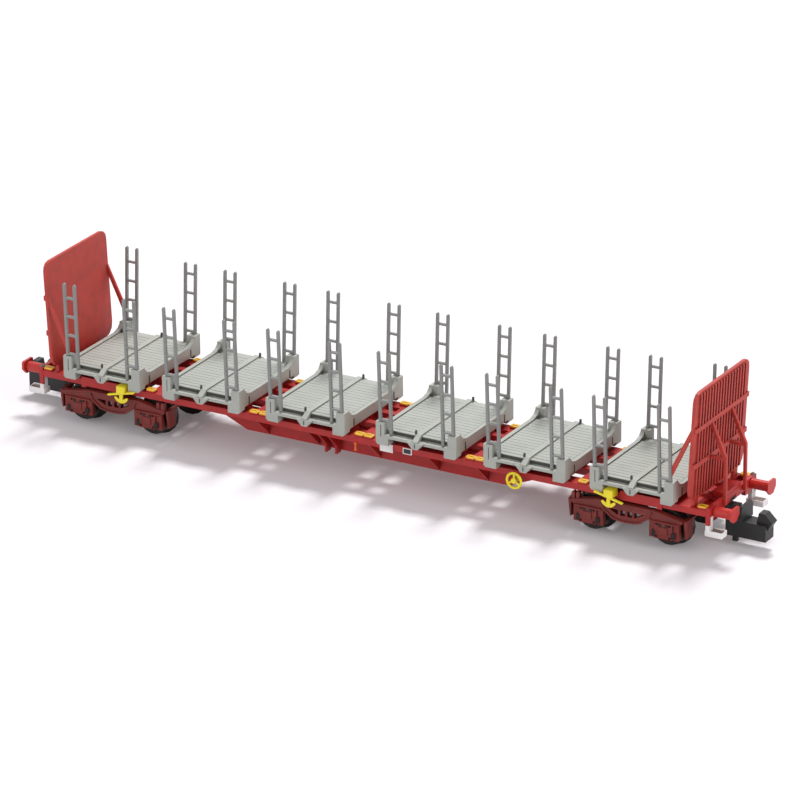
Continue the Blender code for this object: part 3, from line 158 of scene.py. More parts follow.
def moulded(name, colour, rough=(0.38, 0.52), mottle=0.1, edge=1.35, grain=(1.0, 1.0, 1.0),
            bump=0.25, metallic=0.0, bevel=0.05 * MM, hollow=0.42):
    """Moulded finish: mottling, fine bump, a painted highlight on edges and painted shade in hollows."""
    made = bpy.data.materials.new(name)
    made.use_nodes = True
    tree = made.node_tree
    shader = tree.nodes["Principled BSDF"]
    shader.inputs["Metallic"].default_value = metallic
    spot = tree.nodes.new("ShaderNodeTexCoord")
    mapping = tree.nodes.new("ShaderNodeMapping")
    mapping.inputs["Scale"].default_value = grain
    tree.links.new(spot.outputs["Object"], mapping.inputs["Vector"])
    cloud = tree.nodes.new("ShaderNodeTexNoise")
    cloud.inputs["Scale"].default_value = MOTTLE_SCALE
    cloud.inputs["Detail"].default_value = 4.0
    fine = tree.nodes.new("ShaderNodeTexNoise")
    fine.inputs["Scale"].default_value = GRAIN_SCALE
    fine.inputs["Detail"].default_value = 2.0
    for noise in (cloud, fine):
        tree.links.new(mapping.outputs[0], noise.inputs["Vector"])
    tint = tree.nodes.new("ShaderNodeValToRGB")
    tint.color_ramp.elements[0].position = MOTTLE_BAND[0]
    tint.color_ramp.elements[0].color = shaded(colour, 1.0 - mottle)
    tint.color_ramp.elements[1].position = MOTTLE_BAND[1]
    tint.color_ramp.elements[1].color = shaded(colour, 1.0 + mottle)
    tree.links.new(cloud.outputs["Fac"], tint.inputs["Fac"])
    round_edge = tree.nodes.new("ShaderNodeBevel")
    round_edge.samples = 4
    round_edge.inputs["Radius"].default_value = bevel
    plain = tree.nodes.new("ShaderNodeNewGeometry")
    same = tree.nodes.new("ShaderNodeVectorMath")
    same.operation = "DOT_PRODUCT"
    tree.links.new(round_edge.outputs[0], same.inputs[0])
    tree.links.new(plain.outputs["Normal"], same.inputs[1])
    # Painted highlight: the colour is lightened towards the edge colour along edges.
    edge_highlight = tree.nodes.new("ShaderNodeMapRange")
    edge_highlight.inputs["From Min"].default_value = EDGE_BAND[0]
    edge_highlight.inputs["From Max"].default_value = EDGE_BAND[1]
    edge_highlight.inputs["To Max"].default_value = EDGE_STRENGTH
    tree.links.new(same.outputs["Value"], edge_highlight.inputs["Value"])
    top = tree.nodes.new("ShaderNodeMix")
    top.data_type = "RGBA"
    top.inputs["B"].default_value = shaded(colour, edge)
    tree.links.new(edge_highlight.outputs[0], top.inputs["Factor"])
    tree.links.new(tint.outputs["Color"], top.inputs["A"])
    # Painted shade: the colour is darkened in hollows and creases.
    closed = tree.nodes.new("ShaderNodeAmbientOcclusion")
    closed.samples = 6
    closed.only_local = True
    closed.inputs["Distance"].default_value = HOLLOW_REACH
    depth = tree.nodes.new("ShaderNodeMapRange")
    depth.inputs["From Min"].default_value = HOLLOW_BAND[0]
    depth.inputs["From Max"].default_value = HOLLOW_BAND[1]
    depth.inputs["To Min"].default_value = hollow
    tree.links.new(closed.outputs["AO"], depth.inputs["Value"])
    darker = tree.nodes.new("ShaderNodeVectorMath")
    darker.operation = "SCALE"
    tree.links.new(top.outputs["Result"], darker.inputs[0])
    tree.links.new(depth.outputs[0], darker.inputs["Scale"])
    tree.links.new(darker.outputs[0], shader.inputs["Base Color"])
    gloss = tree.nodes.new("ShaderNodeMapRange")
    gloss.inputs["To Min"].default_value = rough[0]
    gloss.inputs["To Max"].default_value = rough[1]
    tree.links.new(cloud.outputs["Fac"], gloss.inputs["Value"])
    tree.links.new(gloss.outputs[0], shader.inputs["Roughness"])
    skin = tree.nodes.new("ShaderNodeBump")
    skin.inputs["Strength"].default_value = bump
    skin.inputs["Distance"].default_value = GRAIN_DEPTH
    tree.links.new(fine.outputs["Fac"], skin.inputs["Height"])
    tree.links.new(round_edge.outputs[0], skin.inputs["Normal"])
    tree.links.new(skin.outputs[0], shader.inputs["Normal"])
    return made


def refinish(start, material):
    """Give every CAD node whose name starts so its finish."""
    for name, node in nodes.items():
        if name.startswith(start):
            for slot in node.material_slots:
                slot.material = material


carmine = moulded("carmine_plastic", srgb(172, 28, 25))
refinish("underframe", carmine)

# Deck pads. Yellow plastic blocks with a dimple, seated on low red bosses along both sole bars.
# One or a pair stands in every gap between bunks, and one at each end of the deck.
PAD_XS = (-50.8, -34.1, -17.6, -16.1, -1.05, 0.38, 16.1, 17.5, 33.1, 50.8)
PAD_Y = 6.2 * MM
PAD_LENGTH = 1.36 * MM
PAD_WIDTH = 0.95 * MM
PAD_CORNER = 0.22 * MM
PAD_THICKNESS = 0.2 * MM
PAD_SUNK = 0.02 * MM
PAD_RIM = 0.36 * MM
DIMPLE_DEPTH = 0.03 * MM
BOSS_BORDER = 0.04 * MM
BOSS_HEIGHT = 0.2 * MM
BOSS_SUNK = 0.05 * MM
PAD_EDGE = 0.035 * MM
BOSS_EDGE = 0.04 * MM
DECK_Z = 6.95 * MM
SMOOTH_ANGLE = math.radians(35)


def pick(piece, test):
    """In edit mode, select the faces that pass the test, and nothing else."""
    bpy.ops.object.mode_set(mode="OBJECT")
    mesh = piece.data
    for part in (mesh.vertices, mesh.edges, mesh.polygons):
        for item in part:
            item.select = False
    for face in mesh.polygons:
        face.select = bool(test(face))
    bpy.ops.object.mode_set(mode="EDIT")
    bpy.ops.mesh.select_mode(type="FACE")


def facing(x=0, y=0, z=0, least=0.9):
    """A test for pick: the face looks along the given direction."""
    return lambda face: face.normal.dot(Vector((x, y, z))) > least


def inset_face(piece, test, border, rise):
    """Inset the faces that pass the test and raise them, or sink them if rise is negative."""
    pick(piece, test)
    bpy.ops.mesh.inset(thickness=border, depth=rise)


def block(middle, size):
    """Plain box with its place in its mesh, in object mode."""
    bpy.ops.mesh.primitive_cube_add(size=1.0, location=middle, scale=size)
    bpy.ops.object.transform_apply(location=True, scale=True)
    return bpy.context.object


def rounded_block(length, width, low, high):
    """Block on the wagon's middle line with rounded upright edges, left in edit mode."""
    made = block((0, 0, (low + high) / 2), (length, width, high - low))
    pick(made, lambda face: False)
    bpy.ops.object.mode_set(mode="OBJECT")
    points = made.data.vertices
    for edge in made.data.edges:
        a, b = (points[i].co for i in edge.vertices)
        edge.select = abs(a.z - b.z) > (high - low) / 2
    bpy.ops.object.mode_set(mode="EDIT")
    bpy.ops.mesh.select_mode(type="EDGE")
    bpy.ops.mesh.bevel(offset=PAD_CORNER, segments=4)
    return made


def soften(piece, width, segments=2, angle=40):
    """Round the sharp edges of a piece and shade it smooth."""
    bpy.ops.object.mode_set(mode="OBJECT")
    bevel = piece.modifiers.new("edges", "BEVEL")
    bevel.width = width
    bevel.segments = segments
    bevel.limit_method = "ANGLE"
    bevel.angle_limit = math.radians(angle)
    bpy.ops.object.modifier_apply(modifier=bevel.name)
    bpy.ops.object.shade_smooth_by_angle(angle=SMOOTH_ANGLE)


def joined(pieces):
    """Make one object of several that are in object mode."""
    bpy.ops.object.select_all(action="DESELECT")
    for piece in pieces:
        piece.select_set(True)
    bpy.context.view_layer.objects.active = pieces[0]
    bpy.ops.object.join()
    return bpy.context.object


def copies(piece, moves):
    """Put a copy of a piece at every move, in place of the piece itself, as one object."""
    bpy.ops.object.mode_set(mode="OBJECT")
    made = []
    for move in moves:
        copy = piece.copy()
        copy.data = piece.data.copy()
        copy.data.transform(move)
        bpy.context.collection.objects.link(copy)
        made.append(copy)
    bpy.data.objects.remove(piece)
    return joined(made)


def settle(piece, name, material, body="root"):
    """Put a piece's place into its mesh, then name it, finish it and hang it on its body."""
    bpy.ops.object.mode_set(mode="OBJECT")
    bpy.ops.object.select_all(action="DESELECT")
    piece.select_set(True)
    bpy.context.view_layer.objects.active = piece
    bpy.ops.object.transform_apply(location=True, rotation=True, scale=True)
    piece.name = name
    piece.data.name = name
    piece.data.materials.clear()
    piece.data.materials.append(material)
    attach(piece, body)
    bpy.ops.object.select_all(action="DESELECT")
    return piece


pad_places = []
for x in PAD_XS:
    for side in (-1, 1):
        pad_places.append(Matrix.Translation((x * MM, side * PAD_Y, DECK_Z)))

boss = rounded_block(PAD_LENGTH + 2 * BOSS_BORDER, PAD_WIDTH + 2 * BOSS_BORDER, -BOSS_SUNK, BOSS_HEIGHT)
soften(boss, BOSS_EDGE)
settle(copies(boss, pad_places), "pad_bosses", carmine)

pad = rounded_block(PAD_LENGTH, PAD_WIDTH, BOSS_HEIGHT - PAD_SUNK, BOSS_HEIGHT + PAD_THICKNESS)
inset_face(pad, facing(z=1), PAD_RIM, 0)
bpy.ops.mesh.inset(thickness=DIMPLE_DEPTH, depth=-DIMPLE_DEPTH)
soften(pad, PAD_EDGE)
pad_yellow = moulded("pad_yellow", srgb(250, 190, 52), rough=(0.3, 0.45), edge=1.15, hollow=0.8)
settle(copies(pad, pad_places), "deck_pads", pad_yellow)

# Blank plates. A thin white plastic plate with a raised border and a dark one in a white frame,
# glued to the sole bar near the middle. The far side's are the near side's turned half round.
PLATE_Y = 6.8 * MM
PLATE_THICKNESS = 0.12 * MM
PLATE_BORDER = 0.12 * MM
PLATE_EDGE = 0.02 * MM
PLATE_SUNK_SHARE = 0.35
DARK_PLATE_THICKNESS = 0.15 * MM
WHITE_PLATE = (2.4, 4.4, 5.7, 6.9)
PLATE_FRAME = (5.95, 7.35, 5.95, 6.85)
DARK_PLATE = (6.1, 7.2, 6.08, 6.72)
plate_white = moulded("plate_white", srgb(232, 230, 228), rough=(0.4, 0.5), mottle=0.04, edge=1.05)
plate_black = moulded("plate_black", srgb(38, 38, 40), rough=(0.4, 0.55), edge=1.6)


def flat_plate(outline, thickness, border):
    """Upright plate facing the near side: left, right, low and high in mm, and a raised border."""
    left, right, low, high = outline
    made = block(((left + right) / 2 * MM, -thickness / 2, (low + high) / 2 * MM),
                 ((right - left) * MM, thickness, (high - low) * MM))
    if border:
        inset_face(made, facing(y=-1), border, 0)
        bpy.ops.mesh.inset(thickness=PLATE_EDGE, depth=-thickness * PLATE_SUNK_SHARE)
    soften(made, PLATE_EDGE, segments=1)
    return made


half_turn = Matrix.Rotation(math.pi, 4, "Z")
near_side = Matrix.Translation((0, -PLATE_Y, 0))
both_sides = [near_side, half_turn @ near_side]
settle(copies(flat_plate(WHITE_PLATE, PLATE_THICKNESS, PLATE_BORDER), both_sides),
       "plates_white", plate_white)
settle(copies(flat_plate(PLATE_FRAME, PLATE_THICKNESS, 0), both_sides),
       "plate_frames", plate_white)
settle(copies(flat_plate(DARK_PLATE, DARK_PLATE_THICKNESS, 0), both_sides),
       "plates_dark", plate_black)

# Brake valve handles. A short handle on a round hub, moulded in orange plastic and pressed into
# the frame below the sole bar near the middle, one on each side.
HUB_PLACE = (-1.35 * MM, -0.13 * MM, 6.0 * MM)
HUB_RADIUS = 0.2 * MM
HUB_LENGTH = 0.3 * MM
HUB_RIM = 0.06 * MM
HUB_CROWN = 0.05 * MM
HANDLE_LENGTH = 0.85 * MM
HANDLE_SPREAD = (2.6, 0.7, 1.0)
HANDLE_EDGE = 0.03 * MM

signal_orange = moulded("handle_orange", srgb(226, 98, 40), rough=(0.35, 0.5), edge=1.2)
bpy.ops.mesh.primitive_cylinder_add(vertices=16, radius=HUB_RADIUS, depth=HUB_LENGTH,
                                    location=HUB_PLACE, rotation=(math.pi / 2, 0, 0))
handle = bpy.context.object
bpy.ops.object.transform_apply(location=True, rotation=True)
inset_face(handle, facing(y=-1), HUB_RIM, HUB_CROWN)
pick(handle, facing(z=-1, least=0.97))
bpy.ops.mesh.extrude_region_move(TRANSFORM_OT_translate={"value": (0, 0, -HANDLE_LENGTH)})
bpy.ops.transform.resize(value=HANDLE_SPREAD)
soften(handle, HANDLE_EDGE, segments=1)
settle(copies(handle, both_sides), "valve_handles", signal_orange)

# End decks. A thin dark plate on the middle of each headstock is painted shade for the hole for the draw
# gear. A small brown cap, moulded in plastic, is glued on the right-hand end's far corner and the left-hand
# end's near one.
HEADSTOCK_X = 52.1 * MM
DRAW_HOLE_PLACE = (HEADSTOCK_X + 0.005 * MM, 0, 6.3 * MM)
DRAW_HOLE_SIZE = (0.03 * MM, 1.56 * MM, 0.46 * MM)
DRAW_HOLE_BORDER = 0.1 * MM
DRAW_HOLE_DEPTH = 0.02 * MM
CAP_PLACE = (HEADSTOCK_X - 0.3 * MM, 6.4 * MM, 7.35 * MM)
CAP_RADIUS = 0.32 * MM
CAP_FOOT_Z = 7.3 * MM
CAP_FOOT_SPREAD = (1.25, 1.25, 1.0)

as_made = Matrix.Identity(4)
both_ends = [as_made, half_turn]
# Painted shade: a near-black material for holes and openings that show only shade.
hole_shade_black = moulded("hole_painted_shade", srgb(34, 20, 20), rough=(0.7, 0.85), edge=1.1)
hollow = block(DRAW_HOLE_PLACE, DRAW_HOLE_SIZE)
inset_face(hollow, facing(x=1), DRAW_HOLE_BORDER, -DRAW_HOLE_DEPTH)
settle(copies(hollow, both_ends), "draw_hollows", hole_shade_black)

cap_brown = moulded("cap_brown", srgb(118, 96, 84), rough=(0.45, 0.6), edge=1.3)
bpy.ops.mesh.primitive_uv_sphere_add(segments=16, ring_count=8, radius=CAP_RADIUS, location=CAP_PLACE)
cap = bpy.context.object
bpy.ops.object.transform_apply(location=True)
pick(cap, lambda face: face.center.z < CAP_FOOT_Z)
bpy.ops.transform.resize(value=CAP_FOOT_SPREAD)
bpy.ops.object.mode_set(mode="OBJECT")
bpy.ops.object.shade_smooth()
settle(copies(cap, both_ends), "headstock_caps", cap_brown)

# End walls. Ribbed bulkheads with their braces moulded on, in a chalkier brick-red plastic than
# the frame. Walls and braces are set into the end decks at their feet.
brick = moulded("wall_brick_red", srgb(178, 54, 43), rough=(0.5, 0.62), mottle=0.13, edge=1.4)
refinish("end_wall", brick)

# Bunks. Light grey plastic mouldings with planked floors. The planks run along the wagon in two
# fields, beside a middle bar; the gaps between planks and the groove inside each raised end rim are painted
# shade.
BUNK_XS = (-41.1, -25.1, -8.6, 8.6, 25.1, 41.1)
FLOOR_Z = 9.15 * MM
FIELD_INNER = 0.5 * MM
FIELD_OUTER = 5.42 * MM
PLANK_COUNT = 15
PLANK_PITCH = 0.86 * MM
PLANK_GAP = 0.07 * MM
PLANK_THICKNESS = 0.05 * MM
PLANK_EDGE = 0.03 * MM
PLANK_CROWN = 0.012 * MM
BED_THICKNESS = 0.03 * MM
BED_RISE = 0.005 * MM
BED_BORDER = 0.05 * MM
RIM_SHADE_PLACE = (5.5 * MM, 0, FLOOR_Z + 0.01 * MM)
RIM_SHADE_SIZE = (0.12 * MM, 12.2 * MM, 0.05 * MM)
RIM_SHADE_BORDER = 0.02 * MM
RIM_SHADE_DEPTH = 0.015 * MM

pale_grey = moulded("bunk_grey", srgb(168, 171, 163), rough=(0.42, 0.58), mottle=0.045, edge=1.14,
                    grain=(0.35, 1.0, 1.0))
refinish("cradle", pale_grey)
bunk_places = [Matrix.Translation((x * MM, 0, 0)) for x in BUNK_XS]

field_middle = (FIELD_INNER + FIELD_OUTER) / 2
field_length = FIELD_OUTER - FIELD_INNER
first_y = -(PLANK_COUNT - 1) / 2 * PLANK_PITCH
plank = block((field_middle, first_y, FLOOR_Z + PLANK_THICKNESS / 2),
              (field_length, PLANK_PITCH - PLANK_GAP, PLANK_THICKNESS))
inset_face(plank, facing(z=1), PLANK_EDGE, PLANK_CROWN)
bpy.ops.object.mode_set(mode="OBJECT")
row = plank.modifiers.new("row", "ARRAY")
row.count = PLANK_COUNT
row.use_relative_offset = False
row.use_constant_offset = True
row.constant_offset_displace = (0, PLANK_PITCH, 0)
bpy.ops.object.modifier_apply(modifier=row.name)
plank = copies(plank, both_ends)
settle(copies(plank, bunk_places), "bunk_planks", pale_grey)

# Painted shade: a darker copy of the bunk grey lies under the planks and shows in the gaps between them.
plank_gap_shade_grey = moulded("plank_gap_painted_shade", srgb(150, 153, 146), rough=(0.6, 0.75), edge=1.05)
bed = block((field_middle, 0, FLOOR_Z + BED_RISE), (field_length, PLANK_COUNT * PLANK_PITCH, BED_THICKNESS))
inset_face(bed, facing(z=1), BED_BORDER, -BED_RISE)
bed = copies(bed, both_ends)
settle(copies(bed, bunk_places), "plank_beds", plank_gap_shade_grey)

# Painted shade: a thin dark strip in the groove inside each end rim. The same dark grey also serves the
# real dark lashing knobs.
shade_and_knob_grey = moulded("dark_grey_shade_and_knobs", srgb(66, 64, 60), rough=(0.6, 0.75), edge=1.1)
rim_groove_shade = block(RIM_SHADE_PLACE, RIM_SHADE_SIZE)
inset_face(rim_groove_shade, facing(z=1), RIM_SHADE_BORDER, -RIM_SHADE_DEPTH)
rim_groove_shade = copies(rim_groove_shade, both_ends)
settle(copies(rim_groove_shade, bunk_places), "bunk_rim_shades", shade_and_knob_grey)

# Shadow grooves. Under the floor's long edges, between the middle bar and the posts, each bunk is
# undercut in the mould; a thin dark strip there is painted shade for the undercut.
GROOVE_PLACE = (2.34 * MM, 7.105 * MM, 8.82 * MM)
GROOVE_SIZE = (3.8 * MM, 0.03 * MM, 0.44 * MM)
GROOVE_BORDER = 0.05 * MM
SLOT_DEPTH = 0.01 * MM

groove = block(GROOVE_PLACE, GROOVE_SIZE)
inset_face(groove, facing(y=1), GROOVE_BORDER, -SLOT_DEPTH)
past_bar = Matrix.Translation((-2 * GROOVE_PLACE[0], 0, 0))
groove = copies(groove, [as_made, half_turn, past_bar, half_turn @ past_bar])
settle(copies(groove, bunk_places), "floor_grooves", shade_and_knob_grey)

# Beam and bracket slots. Each grey plastic bunk is moulded with slots in its end beams, beside the
# posts, and in its middle brackets. They are narrow and deep; a thin dark strip in each is painted shade.
BEAM_SLOT_PLACE = (6.18 * MM, 5.45 * MM, 8.35 * MM)
BEAM_SLOT_SIZE = (0.04 * MM, 0.3 * MM, 1.15 * MM)
BEAM_SLOT_BORDER = 0.05 * MM
BRACKET_SLOT_PLACE = (0, -8.35 * MM, 8.05 * MM)
BRACKET_SLOT_SIZE = (0.16 * MM, 0.04 * MM, 0.6 * MM)
BRACKET_SLOT_BORDER = 0.03 * MM

slot = block(BEAM_SLOT_PLACE, BEAM_SLOT_SIZE)
inset_face(slot, facing(x=1), BEAM_SLOT_BORDER, -SLOT_DEPTH)
to_near_post = Matrix.Translation((0, -2 * BEAM_SLOT_PLACE[1], 0))
to_left_beam = Matrix.Translation((-2 * BEAM_SLOT_PLACE[0], 0, 0))
slot = copies(slot, [as_made, half_turn, to_near_post, to_left_beam])
settle(copies(slot, bunk_places), "beam_slots", shade_and_knob_grey)

slot = block(BRACKET_SLOT_PLACE, BRACKET_SLOT_SIZE)
inset_face(slot, facing(y=-1), BRACKET_SLOT_BORDER, -SLOT_DEPTH)
slot = copies(slot, both_ends)
settle(copies(slot, bunk_places), "bracket_slots", shade_and_knob_grey)

# Post slots. The outer face of each bunk's near left post is slotted in the mould for the stake's
# tongue, and so is that of the far right-hand post. A thin dark strip in each slot is painted shade.
POST_SLOT_PLACE = (-5.4 * MM, -8.0 * MM, 9.15 * MM)
POST_SLOT_SIZE = (0.1 * MM, 0.03 * MM, 1.7 * MM)
POST_SLOT_BORDER = 0.02 * MM

slot = block(POST_SLOT_PLACE, POST_SLOT_SIZE)
inset_face(slot, facing(y=-1), POST_SLOT_BORDER, -SLOT_DEPTH)
slot = copies(slot, both_ends)
settle(copies(slot, bunk_places), "post_slots", shade_and_knob_grey)

# Lashing knobs. Small dark plastic knobs, pressed into each bunk to tie the load down: one beside
# the far left post and one at the far end of the middle bar, with two more opposite them.
KNOB_RADIUS = 0.17 * MM
KNOB_HEIGHT = 0.5 * MM
KNOB_PLACE = (-5.25 * MM, 5.85 * MM, FLOOR_Z + KNOB_HEIGHT / 2)
KNOB_TIP = 0.1 * MM
KNOB_TIP_TAPER = (0.6, 0.6, 1.0)
KNOB_EDGE = 0.03 * MM
BAR_KNOB_MOVE = (5.72 * MM, 1.2 * MM, 0.1 * MM)

bpy.ops.mesh.primitive_cylinder_add(vertices=12, radius=KNOB_RADIUS, depth=KNOB_HEIGHT,
                                    location=KNOB_PLACE)
knob = bpy.context.object
bpy.ops.object.transform_apply(location=True)
pick(knob, facing(z=1))
bpy.ops.mesh.extrude_region_move(TRANSFORM_OT_translate={"value": (0, 0, KNOB_TIP)})
bpy.ops.transform.resize(value=KNOB_TIP_TAPER)
soften(knob, KNOB_EDGE, segments=1)
to_bar_end = Matrix.Translation(BAR_KNOB_MOVE)
knob = copies(knob, [as_made, to_bar_end, half_turn, half_turn @ to_bar_end])
settle(copies(knob, bunk_places), "lashing_knobs", shade_and_knob_grey)

# Stakes. Ladder stakes, two rails with rungs between them, moulded in a mid grey plastic that is a
# little glossier than the bunks. Each leans slightly outwards from a corner post of its bunk.
stake_grey = moulded("stake_grey", srgb(134, 136, 133), rough=(0.35, 0.48), mottle=0.05, edge=1.22,
                     bevel=0.06 * MM)
refinish("stake", stake_grey)

# Bogie frames. Each is one brown-red plastic moulding: side frames, bolster and end beams, on a
# pin under the deck. Raised flanges catch the light, and hollows stay dark.
bogie_brown = moulded("bogie_brown", srgb(116, 36, 28), rough=(0.45, 0.6), mottle=0.14, edge=1.7)
refinish("bogie_frame", bogie_brown)

# Bogie openings, ledges and brake blocks. The axleboxes' openings are dark plates, painted shade for the
# openings, with a ledge of the bogies' brown-red plastic above them, and a brake block of it hangs from
# each end beam in front of its wheel.
BOGIE_X = 39.9 * MM
AXLE_X = 5.625 * MM
FACE_Y = 7.36 * MM
OPENING_SKIN = 0.24 * MM
OPENING_SUNK = 0.1 * MM
OPENING_BORDER = 0.05 * MM
OPENING_DEPTH = 0.02 * MM
POT_OPENING = {"across": 1.42 * MM, "z": 2.5 * MM, "width": 0.55 * MM, "height": 0.82 * MM}
CAP_OPENING = {"across": 0.5 * MM, "z": 3.78 * MM, "width": 0.46 * MM, "height": 0.36 * MM}
LEDGE_PLACE = (AXLE_X, 7.23 * MM, 4.13 * MM)
LEDGE_SIZE = (4.3 * MM, 0.46 * MM, 0.26 * MM)
LEDGE_TAPER = (0.94, 1.0, 0.7)
LEDGE_EDGE = 0.04 * MM
BLOCK_PLACE = (8.57 * MM, 5.675 * MM, 3.36 * MM)
BLOCK_SIZE = (0.46 * MM, 2.45 * MM, 2.72 * MM)
BLOCK_TAPER = (0.6, 0.72, 1.0)
BLOCK_EDGE = 0.1 * MM
to_other_axle = Matrix.Translation((-2 * AXLE_X, 0, 0))
to_other_wheel = Matrix.Translation((0, -2 * BLOCK_PLACE[1], 0))


def on_bogie(piece, twin, bogie):
    """Repeat a piece for its twin, repeat both across the bogie, and carry all to a bogie."""
    piece = copies(piece, [as_made, twin])
    piece = copies(piece, both_ends)
    way = -1 if bogie == "left" else 1
    return copies(piece, [Matrix.Translation((way * BOGIE_X, 0, 0))])


for bogie in ("left", "right"):
    # Painted shade: each opening is a dark plate standing in for the shade inside it.
    openings = []
    for opening in (POT_OPENING, CAP_OPENING):
        for x in (AXLE_X - opening["across"], AXLE_X + opening["across"]):
            shape = block((x, FACE_Y - OPENING_SUNK, opening["z"]),
                          (opening["width"], OPENING_SKIN, opening["height"]))
            inset_face(shape, facing(y=1), OPENING_BORDER, -OPENING_DEPTH)
            bpy.ops.object.mode_set(mode="OBJECT")
            openings.append(shape)
    settle(on_bogie(joined(openings), to_other_axle, bogie),
           "bogie_openings_" + bogie, hole_shade_black, "bogie_" + bogie)

    ledge = block(LEDGE_PLACE, LEDGE_SIZE)
    pick(ledge, facing(y=1))
    bpy.ops.transform.resize(value=LEDGE_TAPER)
    soften(ledge, LEDGE_EDGE)
    settle(on_bogie(ledge, to_other_axle, bogie),
           "axlebox_ledges_" + bogie, bogie_brown, "bogie_" + bogie)

    shoe = block(BLOCK_PLACE, BLOCK_SIZE)
    pick(shoe, facing(z=-1))
    bpy.ops.transform.resize(value=BLOCK_TAPER)
    soften(shoe, BLOCK_EDGE, segments=3)
    settle(on_bogie(shoe, to_other_wheel, bogie),
           "brake_blocks_" + bogie, bogie_brown, "bogie_" + bogie)

# Wheelsets. Two wheels and their axle are turned from metal and blackened. Fine turning rings run
# round the axle, and its tips sit in the side frames.
RING_SCALE = 42000.0
RING_STRENGTH = 0.3
RING_DEPTH = 0.01 * MM


def turned_metal(name, centre):
    """Dark metal whose rings run round the axle that stands at centre."""
    made = moulded(name, srgb(62, 58, 56), rough=(0.3, 0.45), edge=1.5, metallic=0.7)
    tree = made.node_tree
    spot = tree.nodes["Texture Coordinate"]
    shift = tree.nodes.new("ShaderNodeVectorMath")
    shift.operation = "SUBTRACT"
    shift.inputs[1].default_value = centre
    flat = tree.nodes.new("ShaderNodeVectorMath")
    flat.operation = "MULTIPLY"
    flat.inputs[1].default_value = (1.0, 0.0, 1.0)
    radius = tree.nodes.new("ShaderNodeVectorMath")
    radius.operation = "LENGTH"
    rings = tree.nodes.new("ShaderNodeMath")
    rings.operation = "MULTIPLY"
    rings.inputs[1].default_value = RING_SCALE
    wave = tree.nodes.new("ShaderNodeMath")
    wave.operation = "SINE"
    groove = tree.nodes.new("ShaderNodeBump")
    groove.inputs["Strength"].default_value = RING_STRENGTH
    groove.inputs["Distance"].default_value = RING_DEPTH
    tree.links.new(spot.outputs["Object"], shift.inputs[0])
    tree.links.new(shift.outputs[0], flat.inputs[0])
    tree.links.new(flat.outputs[0], radius.inputs[0])
    tree.links.new(radius.outputs["Value"], rings.inputs[0])
    tree.links.new(rings.outputs[0], wave.inputs[0])
    tree.links.new(wave.outputs[0], groove.inputs["Height"])
    tree.links.new(tree.nodes["Bump"].outputs[0], groove.inputs["Normal"])
    tree.links.new(groove.outputs[0], tree.nodes["Principled BSDF"].inputs["Normal"])
    return made


for name in [name for name in nodes if name.startswith("wheelset")]:
    low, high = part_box(name)
    middle = [(a + b) / 2 for a, b in zip(low, high)]
    refinish(name, turned_metal("turned_" + name, middle))

# Buffers. A round shank with a broad, thin head, moulded in one and glued to the headstock. The
# plastic is the frame's carmine; its colour here is painted a little brighter, as painted light.
refinish("buffer", moulded("buffer_carmine_lit", srgb(190, 38, 32), rough=(0.35, 0.5)))

# Couplers. Hook couplers moulded in black plastic with a satin skin, each swinging on a pin under
# its end of the frame.
refinish("coupler", moulded("coupler_black", srgb(22, 23, 24), rough=(0.42, 0.55), mottle=0.12, edge=1.6))

# Steps. White plastic, hung from the ends of the frame under the buffers. A tray, a little larger
# than the moulded foot that it is clipped over, holds a dark grating.
TRAY_PAST_TIP = 0.4 * MM
TRAY_PAST_STRAP = 0.1 * MM
TRAY_WIDTH = 1.5 * MM
TRAY_SIDE_GAP = 0.02 * MM
TRAY_LOW_Z = 3.32 * MM
TRAY_TOP_Z = 4.16 * MM
TRAY_WALL = 0.15 * MM
TRAY_DEPTH = 0.18 * MM
TRAY_SLOPE = 0.01 * MM
TRAY_EDGE = 0.05 * MM
TREAD_MARGIN = 2.6 * TRAY_WALL
TREAD_Z = TRAY_TOP_Z - TRAY_DEPTH - 0.01 * MM
TREAD_THICKNESS = 0.05 * MM
BAR_WIDTH = 0.03 * MM
BAR_DEPTH = 0.02 * MM

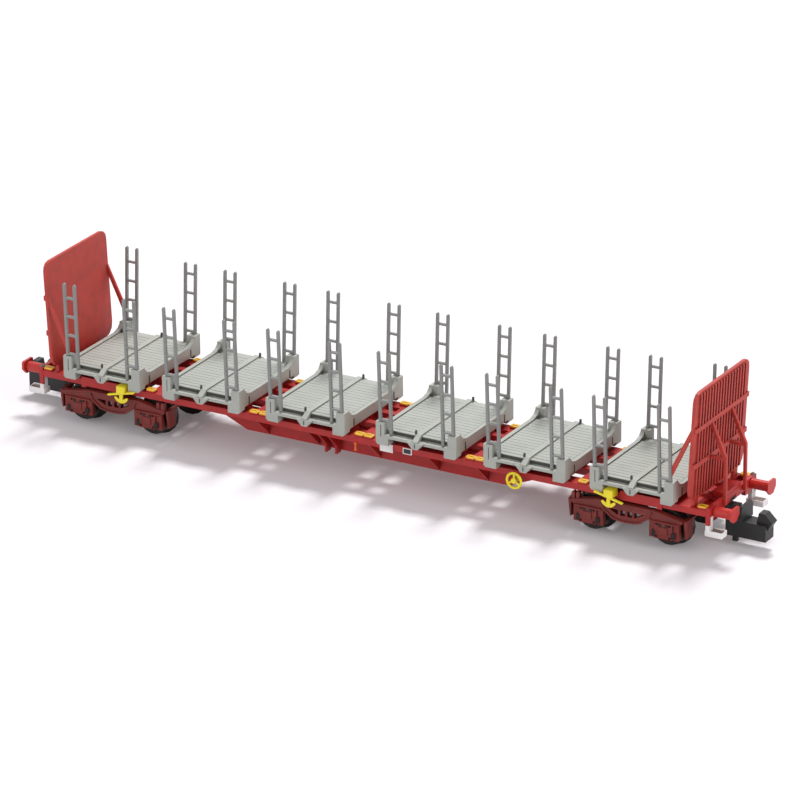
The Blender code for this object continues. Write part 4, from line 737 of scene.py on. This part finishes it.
step_white = moulded("step_white", srgb(236, 234, 232), rough=(0.38, 0.5), mottle=0.03, edge=1.04)
refinish("step", step_white)
grating = moulded("tread_dark", srgb(120, 106, 96), rough=(0.55, 0.7), edge=1.3)
for name in [name for name in nodes if name.startswith("step_")]:
    corner = name.removeprefix("step_")
    low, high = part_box(name)
    way = 1 if low[0] > 0 else -1
    side = 1 if low[1] > 0 else -1
    tip = (high[0] if way > 0 else low[0]) + way * TRAY_PAST_TIP
    root = (low[0] if way > 0 else high[0]) - way * TRAY_PAST_STRAP
    outer_y = high[1] if side > 0 else low[1]
    middle = ((tip + root) / 2, outer_y - side * (TRAY_WIDTH / 2 - TRAY_SIDE_GAP))
    length = abs(tip - root)
    tray = block((*middle, (TRAY_LOW_Z + TRAY_TOP_Z) / 2), (length, TRAY_WIDTH, TRAY_TOP_Z - TRAY_LOW_Z))
    inset_face(tray, facing(z=1), TRAY_WALL, 0)
    bpy.ops.mesh.inset(thickness=TRAY_SLOPE, depth=-TRAY_DEPTH)
    soften(tray, TRAY_EDGE)
    settle(tray, "tray_" + corner, step_white)
    bpy.ops.mesh.primitive_grid_add(x_subdivisions=6, y_subdivisions=4, size=1.0,
                                    location=(*middle, TREAD_Z))
    tread = bpy.context.object
    tread.scale = (length - TREAD_MARGIN, TRAY_WIDTH - TREAD_MARGIN, 1.0)
    bpy.ops.object.transform_apply(location=True, scale=True)
    pick(tread, lambda face: True)
    bpy.ops.mesh.extrude_region_move(TRANSFORM_OT_translate={"value": (0, 0, TREAD_THICKNESS)})
    pick(tread, lambda face: face.normal.z > 0.9 and face.center.z > TREAD_Z + TREAD_THICKNESS / 2)
    bpy.ops.mesh.inset(thickness=BAR_WIDTH, depth=-BAR_DEPTH, use_individual=True)
    settle(tread, "tread_" + corner, grating)

# Change-over levers and handwheels. Bright yellow plastic mouldings glued to the sole bars: a block
# with a cross handle and a bow over each side of each bogie, and a spoked wheel on each side.
lemon = moulded("control_yellow", srgb(240, 222, 40), rough=(0.32, 0.46), mottle=0.05, edge=1.15)
refinish("lever", lemon)
refinish("handwheel", lemon)
